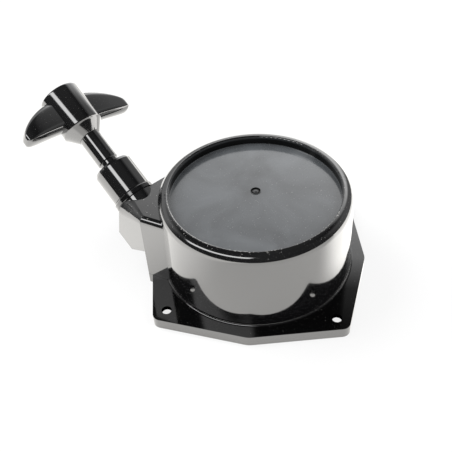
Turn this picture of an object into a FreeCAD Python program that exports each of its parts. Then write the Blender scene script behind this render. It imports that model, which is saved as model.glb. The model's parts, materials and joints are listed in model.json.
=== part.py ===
"""Recoil starter for a small engine, built as an assembly of separate pieces.

Millimetres, +Z up.  The origin is on the axis of the reel, in the plane of the
flange's underside.  The closed end of the housing is at the top and its open
mouth, which sits over the engine's starter cup, is at the bottom.  The bolt
holes lie at 45 degrees to the X and Y axes.

The rope leaves the reel at a tangent, is turned upwards by its guide and leaves
the housing along the pull axis.  Pieces on the pull axis are built in the pull
frame: Z along the pull, origin in the middle of the outlet ring's upper face.
"""
import FreeCAD, Part
import Sketcher
import math
import os

doc = FreeCAD.newDocument("recoil_starter")

SIZES = [
    # name, value, meaning
    ("drum_radius", 65.0, "outer radius of the drum at its top"),
    ("drum_draft", 1.1, "how much wider the drum is at its base"),
    ("rim_height", 69.0, "top of the rim above the flange's underside"),
    ("rim_round", 6.0, "rounding of the rim's outer edge"),
    ("wall", 3.2, "thickness of the moulded walls"),
    ("rim_width", 7.0, "width of the rim round the recess"),
    ("recess_radius", "=drum_radius - rim_width", "radius of the round recess in the top"),
    ("recess_depth", 6.5, "depth of that recess"),
    ("recess_draft", 0.4, "how much narrower the recess is at its floor"),
    ("recess_round", 0.8, "rounding of the rim's inner edge"),
    ("gate_radius", 3.4, "ring-shaped moulding mark in the recess"),
    ("gate_y", 5.0, "moulding mark from the axis"),
    ("gate_height", 0.5, "how far the moulding mark stands up"),
    ("gate_width", 0.8, "width of the ring of the moulding mark"),
    ("gate_dot", 0.9, "radius of the dot in the moulding mark"),
    ("flange_height", 8.0, "height of the flange's edge"),
    ("ear_margin", 26.4, "sharp corner of an ear beyond the drum"),
    ("ear_reach", "=drum_radius + ear_margin", "axis to the sharp corner of an ear"),
    ("side_margin", 11.3, "blunt corner between two ears beyond the drum"),
    ("side_reach", "=drum_radius + side_margin", "axis to that blunt corner"),
    ("ear_round", 6.0, "rounding of the ears"),
    ("side_round", 14.0, "rounding of the blunt corners"),
    ("base_fillet", 1.6, "fillet between the drum and the flange"),
    ("bolt_margin", 15.0, "bolt circle beyond the drum"),
    ("bolt_circle", "=drum_radius + bolt_margin", "radius of the bolt circle"),
    ("bolt_hole", 3.3, "radius of the clearance holes for M6"),
    ("boss_top", 60.0, "top of the rope-outlet boss"),
    ("boss_stand", 9.7, "front left corner of the boss beyond the drum"),
    ("boss_x", "=-drum_radius - boss_stand", "front left corner of the boss"),
    ("boss_y", -23.9, "front left corner of the boss"),
    ("boss_width", 33.0, "twice the pull axis's distance from the boss's side"),
    ("boss_depth", 50.0, "reach of the boss across the pull, into the drum"),
    ("boss_round", 4.5, "rounding of the boss's top edges at its corner"),
    ("outlet_round", 10.0, "rounding of the boss's top edge at the outlet"),
    ("boss_back", 26.0, "reach of the boss behind its corner, into the drum"),
    ("boss_face", 28.0, "width of the boss at its outlet"),
    ("boss_flank", 9.5, "how far the boss narrows behind the outlet"),
    ("boss_cut", 10.4, "corner cut from the boss's back"),
    ("chin_length", 13.1, "chin under the outlet, along the pull"),
    ("chin_rise", 7.5, "height of the chin's sloping face"),
    ("face_lean", 8.0, "lean of the outlet's face back to the boss's top"),
    ("face_lip", 0.5, "how far the chin passes the outlet's centre"),
    ("collar_depth", 16.0, "reach of the ring's round seat into the boss"),
    ("collar_step", 0.8, "how much narrower that seat is than the ring"),
    ("pull_heading", 138.0, "direction of the pull seen from above, degrees"),
    ("pull_rise", 30.0, "rise of the pull above the horizontal, degrees"),
    ("outlet_along", 30.5, "outlet ring from the boss corner, along the pull"),
    ("outlet_height", 52.8, "centre of the outlet ring above the base"),
    ("rope_radius", 2.25, "radius of the starter rope"),
    ("rope_bend", 20.0, "radius of the bend at the rope guide"),
    ("guide_bore", 5.0, "radius of the rope passage"),
    ("passage_length", 48.0, "sloping rope passage, back from the outlet"),
    ("level_length", 18.0, "level rope passage, back from the bend"),
    ("rope_room", 0.5, "clearance of the rope in its drillings"),
    ("eyelet_length", 6.0, "rope eyelet below its lip"),
    ("eyelet_rim", 2.3, "width of the eyelet's lip"),
    ("eyelet_lip", 1.8, "thickness of the eyelet's lip"),
    ("edge_break", 0.6, "bevel on the edges of small turned pieces"),
    ("ring_radius", 15.2, "outlet ring"),
    ("ring_height", 4.0, "outlet ring"),
    ("ferrule_radius", 14.3, "outlet ferrule"),
    ("ferrule_length", 25.5, "outlet ferrule"),
    ("ferrule_bore", 9.0, "radius of the seat for the handle's neck"),
    ("ferrule_round", 2.6, "rounding of the ferrule's free end"),
    ("neck_radius", 6.9, "dark neck of the handle stem"),
    ("neck_start", 14.0, "lower end of the neck on the pull axis"),
    ("stem_start", 29.5, "lower end of the stem on the pull axis"),
    ("stem_radius", 7.8, "handle stem"),
    ("cone_start", 55.0, "where the hub's cone leaves the stem"),
    ("hub_start", 62.5, "lower end of the hub's cylinder"),
    ("hub_end", 92.0, "upper end of the hub's cylinder"),
    ("hub_radius", 15.3, "handle hub"),
    ("hub_wall", 4.0, "wall of the hub round the knot"),
    ("hub_hollow", 12.0, "depth of the hollow for the knot"),
    ("hub_rim", 1.8, "rounded rim above the hub's cylinder"),
    ("cap_height", 3.6, "handle cap"),
    ("wing_reach", 46.5, "axis to the tip of a wing"),
    ("wing_thickness", 12.0, "wing of the handle"),
    ("wing_tip", 6.0, "height of a wing's straight tip"),
    ("wing_shoulder", 15.5, "height of a wing's shoulder"),
    ("wing_root", 3.5, "a wing's upper line below the hub's end"),
    ("tip_round", 3.0, "rounding of a wing's tip"),
    ("shoulder_round", 22.0, "rounding of a wing's shoulder"),
    ("handle_twist", 13.0, "turn of the T-bar about the pull axis, degrees"),
    ("post_radius", 8.0, "steel post that carries the reel"),
    ("post_end", 18.7, "lower end of the post"),
    ("post_head", 3.0, "how much wider the post's head is"),
    ("post_seat", 2.0, "thickness of the post's head"),
    ("case_clear", 0.5, "spring case's hole to the rib round the post's head"),
    ("rib", 2.5, "thickness of the ribs under the ceiling"),
    ("case_rib_height", 7.0, "rib round the spring case"),
    ("running_gap", 0.06, "radial clearance of a shaft in its bore"),
    ("free_gap", 0.3, "clearance between pieces that move past each other"),
    ("reel_low", 28.5, "lower face of the reel's web"),
    ("groove_low", 31.0, "lower side of the rope groove"),
    ("groove_high", 41.0, "upper side of the rope groove"),
    ("reel_high", 43.5, "upper face of the reel"),
    ("reel_gap", 5.3, "reel to the inside of the drum"),
    ("reel_radius", "=drum_radius - wall - reel_gap", "outer radius of the reel's flanges"),
    ("groove_depth", 16.5, "depth of the rope groove"),
    ("core_radius", "=reel_radius - groove_depth", "floor of the rope groove"),
    ("reel_wall", 6.0, "wall of the reel's hub round the post"),
    ("reel_hub", "=post_radius + reel_wall", "radius of the reel's hub"),
    ("hub_low", 24.0, "lower end of the reel's hub"),
    ("hub_high", 56.5, "upper end of the reel's hub, inside the spring"),
    ("well_wall", 2.0, "wall of the hub's well for the friction spring"),
    ("well_depth", 10.0, "depth of that well"),
    ("spring_room", 0.4, "clearance of the friction spring"),
    ("case_inset", 16.1, "spring case to the inside of the drum"),
    ("case_radius", "=drum_radius - wall - case_inset", "outer radius of the spring case"),
    ("case_low", 46.0, "open side of the spring case"),
    ("sheet_metal", 1.2, "thickness of the case, cover and other pressings"),
    ("strip", 0.9, "thickness of the recoil spring's strip"),
    ("spring_turns", 8.0, "turns of the recoil spring"),
    ("pivot_radius", 30.0, "axis of the reel to the pivot of a pawl"),
    ("pin_radius", 2.5, "pawl pin"),
    ("pawl_high", 27.8, "upper face of the pawls"),
    ("pawl_low", 19.2, "lower face of the pawls"),
    ("pawl_round", 1.2, "rounding of a pawl's upright edges"),
    ("stud_x", -2.0, "cam stud in its pawl's frame"),
    ("stud_y", -10.0, "cam stud in its pawl's frame"),
    ("stud_radius", 1.8, "cam stud of a pawl"),
    ("plate_high", 18.4, "upper face of the friction plate"),
    ("plate_low", 16.0, "lower face of the friction plate"),
    ("plate_margin", 7.0, "edge of the friction plate beyond the pivots"),
    ("plate_radius", "=pivot_radius + plate_margin", "friction plate"),
    ("plate_travel", 30.0, "turn of the friction plate on the reel, degrees"),
    ("pawl_travel", 25.0, "turn of a pawl over that travel, degrees"),
    ("bolt_radius", 3.0, "M6 centre bolt"),
    ("washer_radius", 9.0, "washer under the centre bolt's head"),
    ("washer_height", 1.5, "washer under the centre bolt's head"),
    ("bolt_flats", 10.0, "across the flats of the centre bolt's head"),
    ("bolt_head", 4.4, "height of the centre bolt's head"),
    ("knot_gap", 0.25, "knot in the reel above the reel's web"),
    ("knot_factor", 1.8, "a knot's radius over the rope's"),
    ("margin", 1.0, "how far a cutting tool passes what it cuts"),
    ("overlap", 0.2, "how far joined shapes reach into each other"),
]


ROPE_WAY = "<rope_radius> + <rope_room>"
OUTLET_WAY = "<guide_bore> + <eyelet_rim> + <free_gap>"

# Corners of a pawl seen from above, in the frame of its pivot, tip at the far end.
PAWL_PLAN = [(-4.6, 3.6), (-5.0, -3.0), (-8.6, -17.5), (-6.4, -21.0),
             (-2.2, -20.0), (3.0, -12.0), (5.0, -2.0), (3.4, 4.2)]


def make_sheet():
    """The spreadsheet of driving dimensions."""
    sheet = doc.addObject("Spreadsheet::Sheet", "Sizes")
    for row, (name, value, meaning) in enumerate(SIZES, start=1):
        sheet.set("A%d" % row, name)
        sheet.set("B%d" % row, str(value))
        sheet.setAlias("B%d" % row, name)
        sheet.set("C%d" % row, meaning)
    doc.recompute()
    return sheet


sheet = make_sheet()


def size(name):
    """A driving dimension as a number."""
    return float(sheet.get(name))


def number(expression):
    """The value of an expression over the sheet, as a plain number."""
    result = sheet.evalExpression(expression)
    return float(getattr(result, "Value", result))


def bound(names):
    """An expression with each driving dimension's name tied to its cell."""
    for name, _value, _meaning in sorted(SIZES, key=lambda entry: -len(entry[0])):
        names = names.replace("<" + name + ">", "Sizes." + name)
    return names


# ---------------------------------------------------------------- frames

def pull_heading():
    """Unit vector of the pull, seen from above."""
    angle = math.radians(size("pull_heading"))
    return FreeCAD.Vector(math.cos(angle), math.sin(angle), 0)


def pull_direction():
    """Unit vector of the pull axis."""
    rise = math.radians(size("pull_rise"))
    up = FreeCAD.Vector(0, 0, math.sin(rise))
    return pull_heading() * math.cos(rise) + up


def boss_frame():
    """X along the pull's heading, Z up, Y into the boss; origin at its corner."""
    corner = FreeCAD.Vector(size("boss_x"), size("boss_y"), 0)
    turn = FreeCAD.Rotation(FreeCAD.Vector(0, 0, 1), size("pull_heading"))
    return FreeCAD.Placement(corner, turn)


def outlet_centre():
    """Middle of the outlet ring's upper face, where the ferrule starts."""
    across = -size("boss_width") / 2
    local = FreeCAD.Vector(size("outlet_along"), across, size("outlet_height"))
    return boss_frame().multVec(local)


def pull_frame(twist=0.0):
    """Z along the pull, X level and across it, origin at the outlet ring."""
    level = FreeCAD.Vector(0, 0, 1).cross(pull_direction())
    turn = FreeCAD.Rotation(level * -1, FreeCAD.Vector(), pull_direction(), "ZXY")
    spin = FreeCAD.Rotation(FreeCAD.Vector(0, 0, 1), twist)
    return FreeCAD.Placement(outlet_centre(), turn.multiply(spin))


def guide_point():
    """Where the level run of rope meets the pull axis, at the groove's middle."""
    level = (size("groove_low") + size("groove_high")) / 2
    centre = outlet_centre()
    back = (centre.z - level) / math.sin(math.radians(size("pull_rise")))
    return centre - pull_direction() * back


# ---------------------------------------------------------------- builders

def origin_plane(body, role):
    """One of a body's own origin planes or axes."""
    return [item for item in body.Origin.OriginFeatures if item.Role == role][0]


def new_body(name):
    """An empty body."""
    return doc.addObject("PartDesign::Body", name)


def outline(body, role, name, corners):
    """A closed outline of straight edges, each corner tied to the sheet.

    Every corner is a pair of expressions with the driving names in angle brackets.
    """
    sketch = body.newObject("Sketcher::SketchObject", name)
    sketch.AttachmentSupport = (origin_plane(body, role), [""])
    sketch.MapMode = "FlatFace"
    ties = [(bound(str(x)), bound(str(y))) for x, y in corners]
    points = [FreeCAD.Vector(number(x), number(y), 0) for x, y in ties]
    count = len(points)
    for index, start in enumerate(points):
        sketch.addGeometry(Part.LineSegment(start, points[(index + 1) % count]), False)
    for index in range(count):
        follower = (index + 1) % count
        sketch.addConstraint(Sketcher.Constraint("Coincident", index, 2, follower, 1))
    for index, (point, tie) in enumerate(zip(points, ties)):
        for kind, axis, value, text in (("DistanceX", -2, point.x, tie[0]),
                                        ("DistanceY", -1, point.y, tie[1])):
            if abs(value) < 1e-9:
                sketch.addConstraint(Sketcher.Constraint("PointOnObject", index, 1, axis))
                continue
            place = sketch.addConstraint(Sketcher.Constraint(kind, -1, 1, index, 1, value))
            sketch.setExpression("Constraints[%d]" % place, text)
    doc.recompute()
    return sketch


def circle_sketch(body, role, name, radius, x="0", y="0"):
    """A circle tied to the sheet."""
    sketch = body.newObject("Sketcher::SketchObject", name)
    sketch.AttachmentSupport = (origin_plane(body, role), [""])
    sketch.MapMode = "FlatFace"
    centre = FreeCAD.Vector(number(bound(x)), number(bound(y)), 0)
    circle = Part.Circle(centre, FreeCAD.Vector(0, 0, 1), number(bound(radius)))
    sketch.addGeometry(circle, False)
    place = sketch.addConstraint(Sketcher.Constraint("Radius", 0, circle.Radius))
    sketch.setExpression("Constraints[%d]" % place, bound(radius))
    for kind, axis, value, text in (("DistanceX", -2, centre.x, x),
                                    ("DistanceY", -1, centre.y, y)):
        if abs(value) < 1e-9:
            sketch.addConstraint(Sketcher.Constraint("PointOnObject", 0, 3, axis))
            continue
        place = sketch.addConstraint(Sketcher.Constraint(kind, -1, 1, 0, 3, value))
        sketch.setExpression("Constraints[%d]" % place, bound(text))
    doc.recompute()
    return sketch


def pad(body, sketch, name, length, midplane=False, reverse=False):
    """A pad of a sketch, its length tied to the sheet."""
    feature = body.newObject("PartDesign::Pad", name)
    feature.Profile = sketch
    feature.setExpression("Length", bound(length))
    feature.Midplane = midplane
    feature.Reversed = reverse
    doc.recompute()
    return feature


def pocket(body, sketch, name, length, reverse=True):
    """A pocket that must remove material; upwards from the XY plane by default."""
    before = body.Shape.Volume
    feature = body.newObject("PartDesign::Pocket", name)
    feature.Profile = sketch
    feature.setExpression("Length", bound(length))
    feature.Reversed = reverse
    doc.recompute()
    if not body.Shape.Volume < before - 1e-3:
        raise RuntimeError(name + " cuts nothing")
    return feature


def revolve(body, sketch, name):
    """A full turn of a sketch about its own vertical axis."""
    feature = body.newObject("PartDesign::Revolution", name)
    feature.Profile = sketch
    feature.ReferenceAxis = (sketch, ["V_Axis"])
    feature.Angle = 360
    doc.recompute()
    return feature


def soften(body, base, name, radius, picks):
    """A fillet on those edges of the last feature that a test picks."""
    edges = ["Edge%d" % (index + 1)
             for index, edge in enumerate(base.Shape.Edges) if picks(edge)]
    if not edges:
        raise RuntimeError(name + " found no edge")
    feature = body.newObject("PartDesign::Fillet", name)
    feature.Base = (base, edges)
    feature.setExpression("Radius", bound(str(radius)))
    doc.recompute()
    return feature


def is_upright(edge):
    """Whether a straight edge runs along Z."""
    return abs(edge.tangentAt(edge.FirstParameter).z) > 0.99


def is_across(edge):
    """Whether a straight edge runs along Y."""
    return abs(edge.tangentAt(edge.FirstParameter).y) > 0.99


def from_axis(edge):
    """Distance of an edge's middle from the Z axis."""
    return math.hypot(edge.CenterOfMass.x, edge.CenterOfMass.y)


def is_circle(radius, height, slack=0.05):
    """A test for level circles of one radius at one height."""
    def test(edge):
        curve = edge.Curve
        return (isinstance(curve, Part.Circle) and abs(curve.Radius - radius) < slack
                and abs(curve.Center.z - height) < slack)
    return test


def revolved(name, profile):
    """A body turned from a closed profile of (radius, height) about its Z axis."""
    body = new_body(name)
    revolve(body, outline(body, "XZ_Plane", name + "_profile", profile), name + "_turn")
    return body


def turned(label, profile, placement=None):
    """A finished turned piece."""
    return finish(revolved(label, profile), label, placement)


def ring_profile(inner, outer, low, high):
    """The profile of a plain ring or tube."""
    return [(inner, low), (outer, low), (outer, high), (inner, high)]


def cylinder(name, radius, low, high, placement=None):
    """A cylinder primitive between two heights of a frame."""
    shape = doc.addObject("Part::Cylinder", name)
    shape.setExpression("Radius", bound(radius))
    shape.setExpression("Height", bound("(%s) - (%s)" % (high, low)))
    lift = FreeCAD.Placement(FreeCAD.Vector(0, 0, number(bound(low))), FreeCAD.Rotation())
    shape.Placement = (placement or FreeCAD.Placement()).multiply(lift)
    doc.recompute()
    return shape


def fuse(name, shapes):
    """A union of objects."""
    result = doc.addObject("Part::MultiFuse", name)
    result.Shapes = shapes
    result.Refine = True
    doc.recompute()
    return result


def cut(name, base, tool):
    """One object less another; the tool must meet the base."""
    result = doc.addObject("Part::Cut", name)
    result.Base = base
    result.Tool = tool
    result.Refine = True
    doc.recompute()
    if not result.Shape.Volume < base.Shape.Volume - 1e-3:
        raise RuntimeError(name + " cuts nothing")
    return result


PIECES = []


def finish(piece, label, placement=None):
    """Give a finished piece its label and place and put it on the list."""
    piece.Label = label
    if placement is not None:
        piece.Placement = placement
    PIECES.append(piece)
    return piece


# ---------------------------------------------------------------- housing

def flange_corners(inset):
    """The eight corners of the flange, moved towards the axis by an inset."""
    corners = []
    for index in range(8):
        reach = "<ear_reach>" if index % 2 else "<side_reach>"
        angle = "%d deg" % (45 * index)
        corners.append(("(%s - %s) * cos(%s)" % (reach, inset, angle),
                        "(%s - %s) * sin(%s)" % (reach, inset, angle)))
    return corners


def shell_body():
    """Flange and drum, still solid inside, with the recess in the top."""
    body = new_body("shell")
    flange = pad(body, outline(body, "XY_Plane", "flange_outline", flange_corners("0")),
                 "flange", "<flange_height>")
    ear_edge = size("side_reach") + 1
    ears = soften(body, flange, "ear_rounding", "<ear_round>", lambda edge: (
        is_upright(edge) and from_axis(edge) > ear_edge))
    soften(body, ears, "side_rounding", "<side_round>", lambda edge: (
        is_upright(edge) and from_axis(edge) < ear_edge))
    core = circle_sketch(body, "XY_Plane", "skirt_circle", "<drum_radius> + <drum_draft>")
    moat = outline(body, "XY_Plane", "moat_outline", flange_corners("<wall>"))
    pocket(body, moat, "moat", "<flange_height> - <wall>")
    pad(body, core, "skirt", "<flange_height>")
    floor = "<rim_height> - <recess_depth>"
    drum = outline(body, "XZ_Plane", "drum_profile", [
        ("0", "0"),
        ("<drum_radius> + <drum_draft>", "0"),
        ("<drum_radius> + <drum_draft>", "<flange_height> / 2"),
        ("<drum_radius>", "<rim_height>"),
        ("<recess_radius>", "<rim_height>"),
        ("<recess_radius> - <recess_draft>", floor),
        ("0", floor)])
    turn = revolve(body, drum, "drum")
    rim = soften(body, turn, "rim_rounding", "<rim_round>",
                 is_circle(size("drum_radius"), size("rim_height")))
    inner = soften(body, rim, "recess_rounding", "<recess_round>",
                   is_circle(size("recess_radius"), size("rim_height")))
    base_radius = [edge.Curve.Radius for edge in inner.Shape.Edges
                   if isinstance(edge.Curve, Part.Circle)
                   and abs(edge.Curve.Center.z - size("flange_height")) < 0.01
                   and edge.Curve.Radius > size("drum_radius") - 1]
    soften(body, inner, "base_rounding", "<base_fillet>",
           is_circle(base_radius[0], size("flange_height")))
    holes = body.newObject("Sketcher::SketchObject", "bolt_circle_sketch")
    holes.AttachmentSupport = (origin_plane(body, "XY_Plane"), [""])
    holes.MapMode = "FlatFace"
    spot = size("bolt_circle") * math.sqrt(0.5)
    circle = Part.Circle(FreeCAD.Vector(spot, spot, 0), FreeCAD.Vector(0, 0, 1), size("bolt_hole"))
    holes.addGeometry(circle, False)
    radius = holes.addConstraint(Sketcher.Constraint("Radius", 0, size("bolt_hole")))
    holes.setExpression("Constraints[%d]" % radius, "Sizes.bolt_hole")
    for kind in ("DistanceX", "DistanceY"):
        place = holes.addConstraint(Sketcher.Constraint(kind, -1, 1, 0, 3, spot))
        holes.setExpression("Constraints[%d]" % place, "Sizes.bolt_circle * sqrt(0.5)")
    first = pocket(body, holes, "bolt_hole", "<flange_height>")
    pattern = body.newObject("PartDesign::PolarPattern", "bolt_holes")
    pattern.Originals = [first]
    pattern.Axis = (origin_plane(body, "Z_Axis"), [""])
    pattern.Angle = 360
    pattern.Occurrences = 4
    body.Tip = pattern
    doc.recompute()
    return body


def boss_prism(name, role, corners, length):
    """A straight prism in the boss's frame."""
    body = new_body(name)
    pad(body, outline(body, role, name + "_outline", corners), name + "_pad", length)
    body.Placement = boss_frame()
    return body


def make_boss():
    """The block of the rope outlet: upright at the drum, overhanging at the outlet."""
    side = boss_prism("boss_side", "XZ_Plane", [
        ("-<boss_back>", "0"), ("0", "0"), ("0", "<boss_top> / 2"),
        ("<outlet_along> - <chin_length>", "<boss_top> / 3"),
        ("<outlet_along> + <face_lip>", "<boss_top> / 3 + <chin_rise>"),
        ("<outlet_along> - <face_lean>", "<boss_top>"),
        ("-<boss_back>", "<boss_top>")], "<boss_depth>")
    plan = boss_prism("boss_plan", "XY_Plane", [
        ("0", "0"),
        ("<outlet_along> + <margin>", "0"),
        ("<outlet_along> + <margin>", "-<boss_face>"),
        ("<outlet_along> - <boss_flank>", "-<boss_depth>"),
        ("-<boss_back>", "-<boss_depth>"),
        ("-<boss_back>", "-<boss_cut>")], "<boss_top>")
    block = doc.addObject("Part::MultiCommon", "boss_block")
    block.Shapes = [side, plan]
    doc.recompute()
    top = size("boss_top")
    corner = boss_frame().Base
    reach = size("outlet_along")
    chosen = []
    for index, edge in enumerate(block.Shape.Edges, start=1):
        ends = [vertex.Point for vertex in edge.Vertexes]
        level = all(abs(point.z - top) < 0.01 for point in ends)
        starts = min((point - FreeCAD.Vector(corner.x, corner.y, top)).Length for point in ends)
        if level and starts < 0.01 and edge.Length < reach:
            far = max(ends, key=lambda point: (point - corner).Length)
            along = (far - corner).dot(pull_heading())
            last = size("outlet_round") if along > 0 else size("boss_round")
            radii = [size("boss_round"), last]
            if (ends[0] - far).Length < 0.01:
                radii.reverse()
            chosen.append((index, radii[0], radii[1]))
    rounded = doc.addObject("Part::Fillet", "boss_rounding")
    rounded.Base = block
    rounded.Edges = chosen
    doc.recompute()
    spot_face = cylinder("spot_face", "<ring_radius> + <free_gap>", "-<ring_height>",
                         "<ferrule_length>", pull_frame())
    return cut("boss", rounded, spot_face)


def make_housing():
    """The moulded housing: flange, drum, rope outlet and what is inside the drum."""
    collar = cylinder("outlet_collar", "<ring_radius> - <collar_step>", "-<collar_depth>",
                      "-<ring_height>", pull_frame())
    floor = "<rim_height> - <recess_depth>"
    low, high = floor + " - <overlap>", floor + " + <gate_height>"
    mark = revolved("moulding_mark", ring_profile(
        "<gate_radius> - <gate_width>", "<gate_radius>", low, high))
    mark.Placement.Base.y = size("gate_y")
    dot = cylinder("moulding_dot", "<gate_dot>", low, high,
                   FreeCAD.Placement(FreeCAD.Vector(0, size("gate_y"), 0), FreeCAD.Rotation()))
    outside = fuse("outside", [shell_body(), make_boss(), collar, mark, dot])
    ceiling = "<rim_height> - <recess_depth> - <wall>"
    cavity = cylinder("cavity", "<drum_radius> - <wall>", "-<margin>", ceiling)
    hollow = cut("hollow", outside, cavity)
    case_rib = revolved("case_rib", ring_profile(
        "<case_radius> + <free_gap>", "<case_radius> + <free_gap> + <rib>",
        ceiling + " - <case_rib_height>", ceiling + " + <overlap>"))
    post_rib = revolved("post_rib", ring_profile(
        "<post_radius> + <post_head>", "<post_radius> + <post_head> + <rib>",
        ceiling + " - <post_seat>", ceiling + " + <overlap>"))
    ribbed = fuse("ribbed", [hollow, case_rib, post_rib])
    heading = FreeCAD.Rotation(FreeCAD.Vector(0, 0, 1), pull_heading())
    level = FreeCAD.Placement(guide_point(), heading)
    passage = fuse("rope_passage", [
        cylinder("sloping_passage", "<guide_bore>", "-<passage_length>", "0", pull_frame()),
        cylinder("level_passage", "<guide_bore>", "-<level_length>", "2 * <margin>", level)])
    return finish(cut("housing", ribbed, passage), "housing")


def make_post():
    """The steel post with its head, pressed into the housing's middle."""
    ceiling = "<rim_height> - <recess_depth> - <wall>"
    return turned("centre_post", [
        ("<bolt_radius>", "<post_end>"),
        ("<post_radius>", "<post_end>"),
        ("<post_radius>", ceiling + " - <post_seat>"),
        ("<post_radius> + <post_head>", ceiling + " - <post_seat>"),
        ("<post_radius> + <post_head>", ceiling),
        ("<bolt_radius>", ceiling)])


def make_spring_case():
    """The pressed steel cup that holds the recoil spring."""
    hole = "<post_radius> + <post_head> + <rib> + <case_clear>"
    ceiling = "<rim_height> - <recess_depth> - <wall>"
    return turned("spring_case", [
        (hole, ceiling),
        (hole, ceiling + " - <sheet_metal>"),
        ("<case_radius> - <sheet_metal>", ceiling + " - <sheet_metal>"),
        ("<case_radius> - <sheet_metal>", "<case_low>"),
        ("<case_radius>", "<case_low>"),
        ("<case_radius>", ceiling)])


def make_spring_cover():
    """The steel disc that closes the spring case below the spring."""
    return turned("spring_cover", ring_profile(
        "<reel_hub> + <margin>", "<case_radius>", "<case_low> - <sheet_metal>", "<case_low>"))


def spiral(radius, step, half_turns):
    """Half circles about two centres that make a spiral growing by step each turn."""
    edges = []
    start = radius
    for index in range(half_turns):
        side = 1 if index % 2 == 0 else -1
        end = start + step / 2
        middle = (start + end) / 2
        shift = side * (start - end) / 2
        ends = [FreeCAD.Vector(side * start, 0, 0), FreeCAD.Vector(-side * end, 0, 0)]
        top = FreeCAD.Vector(shift, side * middle, 0)
        edges.append(Part.Arc(ends[0], top, ends[1]).toShape())
        start = end
    return edges, start


def make_recoil_spring():
    """The flat spiral spring, wound from the reel's hub to the case."""
    inner = size("reel_hub") + size("free_gap")
    outer = size("case_radius") - size("sheet_metal") - size("free_gap")
    turns = int(size("spring_turns"))
    step = (outer - inner - size("strip")) / turns
    inside, inside_end = spiral(inner, step, 2 * turns)
    outside, outside_end = spiral(inner + size("strip"), step, 2 * turns)
    first = Part.makeLine((inner, 0, 0), (inner + size("strip"), 0, 0))
    last = Part.makeLine((outside_end, 0, 0), (inside_end, 0, 0))
    loop = Part.Wire(Part.__sortEdges__(inside + outside + [first, last]))
    low = size("case_low") + size("free_gap")
    high = (size("rim_height") - size("recess_depth") - size("wall")
            - size("sheet_metal") - size("free_gap"))
    strip = Part.Face(loop).extrude(FreeCAD.Vector(0, 0, high - low))
    piece = doc.addObject("Part::Feature", "recoil_spring")
    piece.Shape = strip
    lift = FreeCAD.Placement(FreeCAD.Vector(0, 0, low), FreeCAD.Rotation())
    return finish(piece, "recoil_spring", lift)


def make_eyelet():
    """The hard eyelet that guides the rope at the outlet."""
    return turned("rope_eyelet", [
        (ROPE_WAY, "-<ring_height> - <eyelet_length>"),
        ("<guide_bore>", "-<ring_height> - <eyelet_length>"),
        ("<guide_bore>", "-<ring_height>"),
        ("<guide_bore> + <eyelet_rim>", "-<ring_height>"),
        ("<guide_bore> + <eyelet_rim>", "<eyelet_lip> - <ring_height>"),
        (ROPE_WAY + " + <eyelet_lip>", "<eyelet_lip> - <ring_height>"),
        (ROPE_WAY, "-<ring_height>")], pull_frame())


def make_outlet_ring():
    """The ring between the boss and the ferrule."""
    return turned("outlet_ring", [
        (OUTLET_WAY, "-<ring_height>"),
        ("<ring_radius> - <edge_break>", "-<ring_height>"),
        ("<ring_radius>", "<edge_break> - <ring_height>"),
        ("<ring_radius>", "-<edge_break>"),
        ("<ring_radius> - <edge_break>", "0"),
        (OUTLET_WAY, "0")], pull_frame())


def make_ferrule():
    """The outlet ferrule that seats the handle."""
    top = "<ferrule_length>"
    return turned("outlet_ferrule", [
        (OUTLET_WAY, "0"),
        ("<ferrule_radius> - <edge_break>", "0"),
        ("<ferrule_radius>", "<edge_break>"),
        ("<ferrule_radius>", top + " - <ferrule_round>"),
        ("<ferrule_radius> - 0.3 * <ferrule_round>", top + " - 0.3 * <ferrule_round>"),
        ("<ferrule_radius> - <ferrule_round>", top),
        ("<ferrule_bore>", top),
        ("<ferrule_bore>", "<wall>"),
        (OUTLET_WAY, "<wall>")], pull_frame())


# ---------------------------------------------------------------- reel and pawls

def make_reel():
    """The rope reel: hub, web, rope groove and a well for the friction spring."""
    bore = "<post_radius> + <running_gap>"
    well = "<reel_hub> - <well_wall>"
    well_top = "<hub_low> + <well_depth>"
    core = "<core_radius> - <wall>"
    web = "<reel_low> + <wall>"
    body = revolved("reel_blank", [
        (bore, well_top), (well, well_top), (well, "<hub_low>"),
        ("<reel_hub>", "<hub_low>"), ("<reel_hub>", "<reel_low>"),
        ("<reel_radius>", "<reel_low>"), ("<reel_radius>", "<groove_low>"),
        ("<core_radius>", "<groove_low>"), ("<core_radius>", "<groove_high>"),
        ("<reel_radius>", "<groove_high>"), ("<reel_radius>", "<reel_high>"),
        (core, "<reel_high>"), (core, web), ("<reel_hub>", web),
        ("<reel_hub>", "<hub_high>"), (bore, "<hub_high>")])
    tools = [cylinder("pin_hole_%d" % (index + 1), "<pin_radius>", "<reel_low> - <margin>",
                      web + " + <margin>", pivot_frame(index)) for index in range(2)]
    side = FreeCAD.Placement(
        FreeCAD.Vector(0, 0, number(bound("(<groove_low> + <groove_high>) / 2"))),
        FreeCAD.Rotation(FreeCAD.Vector(0, 0, 1), FreeCAD.Vector(0, 1, 0)))
    tools.append(cylinder("knot_hole", ROPE_WAY, core + " - <margin>",
                          "<core_radius> + <margin>", side))
    return finish(cut("reel", body, fuse("reel_holes", tools)), "reel")


def pivot_frame(index):
    """A frame on the axis of one pawl pin, turned to face outwards."""
    turn = FreeCAD.Rotation(FreeCAD.Vector(0, 0, 1), 180 * index)
    centre = turn.multVec(FreeCAD.Vector(size("pivot_radius"), 0, 0))
    return FreeCAD.Placement(centre, turn)


def make_rope_coil():
    """The rope wound on the reel, as one closed ring."""
    return turned("rope_coil", ring_profile(
        "<core_radius> + <running_gap>", "%.4f + <rope_radius>" % tangent_radius(),
        "<groove_low>", "<groove_high>"))


def tangent_radius():
    """Distance of the level run of rope from the reel's axis."""
    return abs(guide_point().cross(pull_heading()).z)


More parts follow.
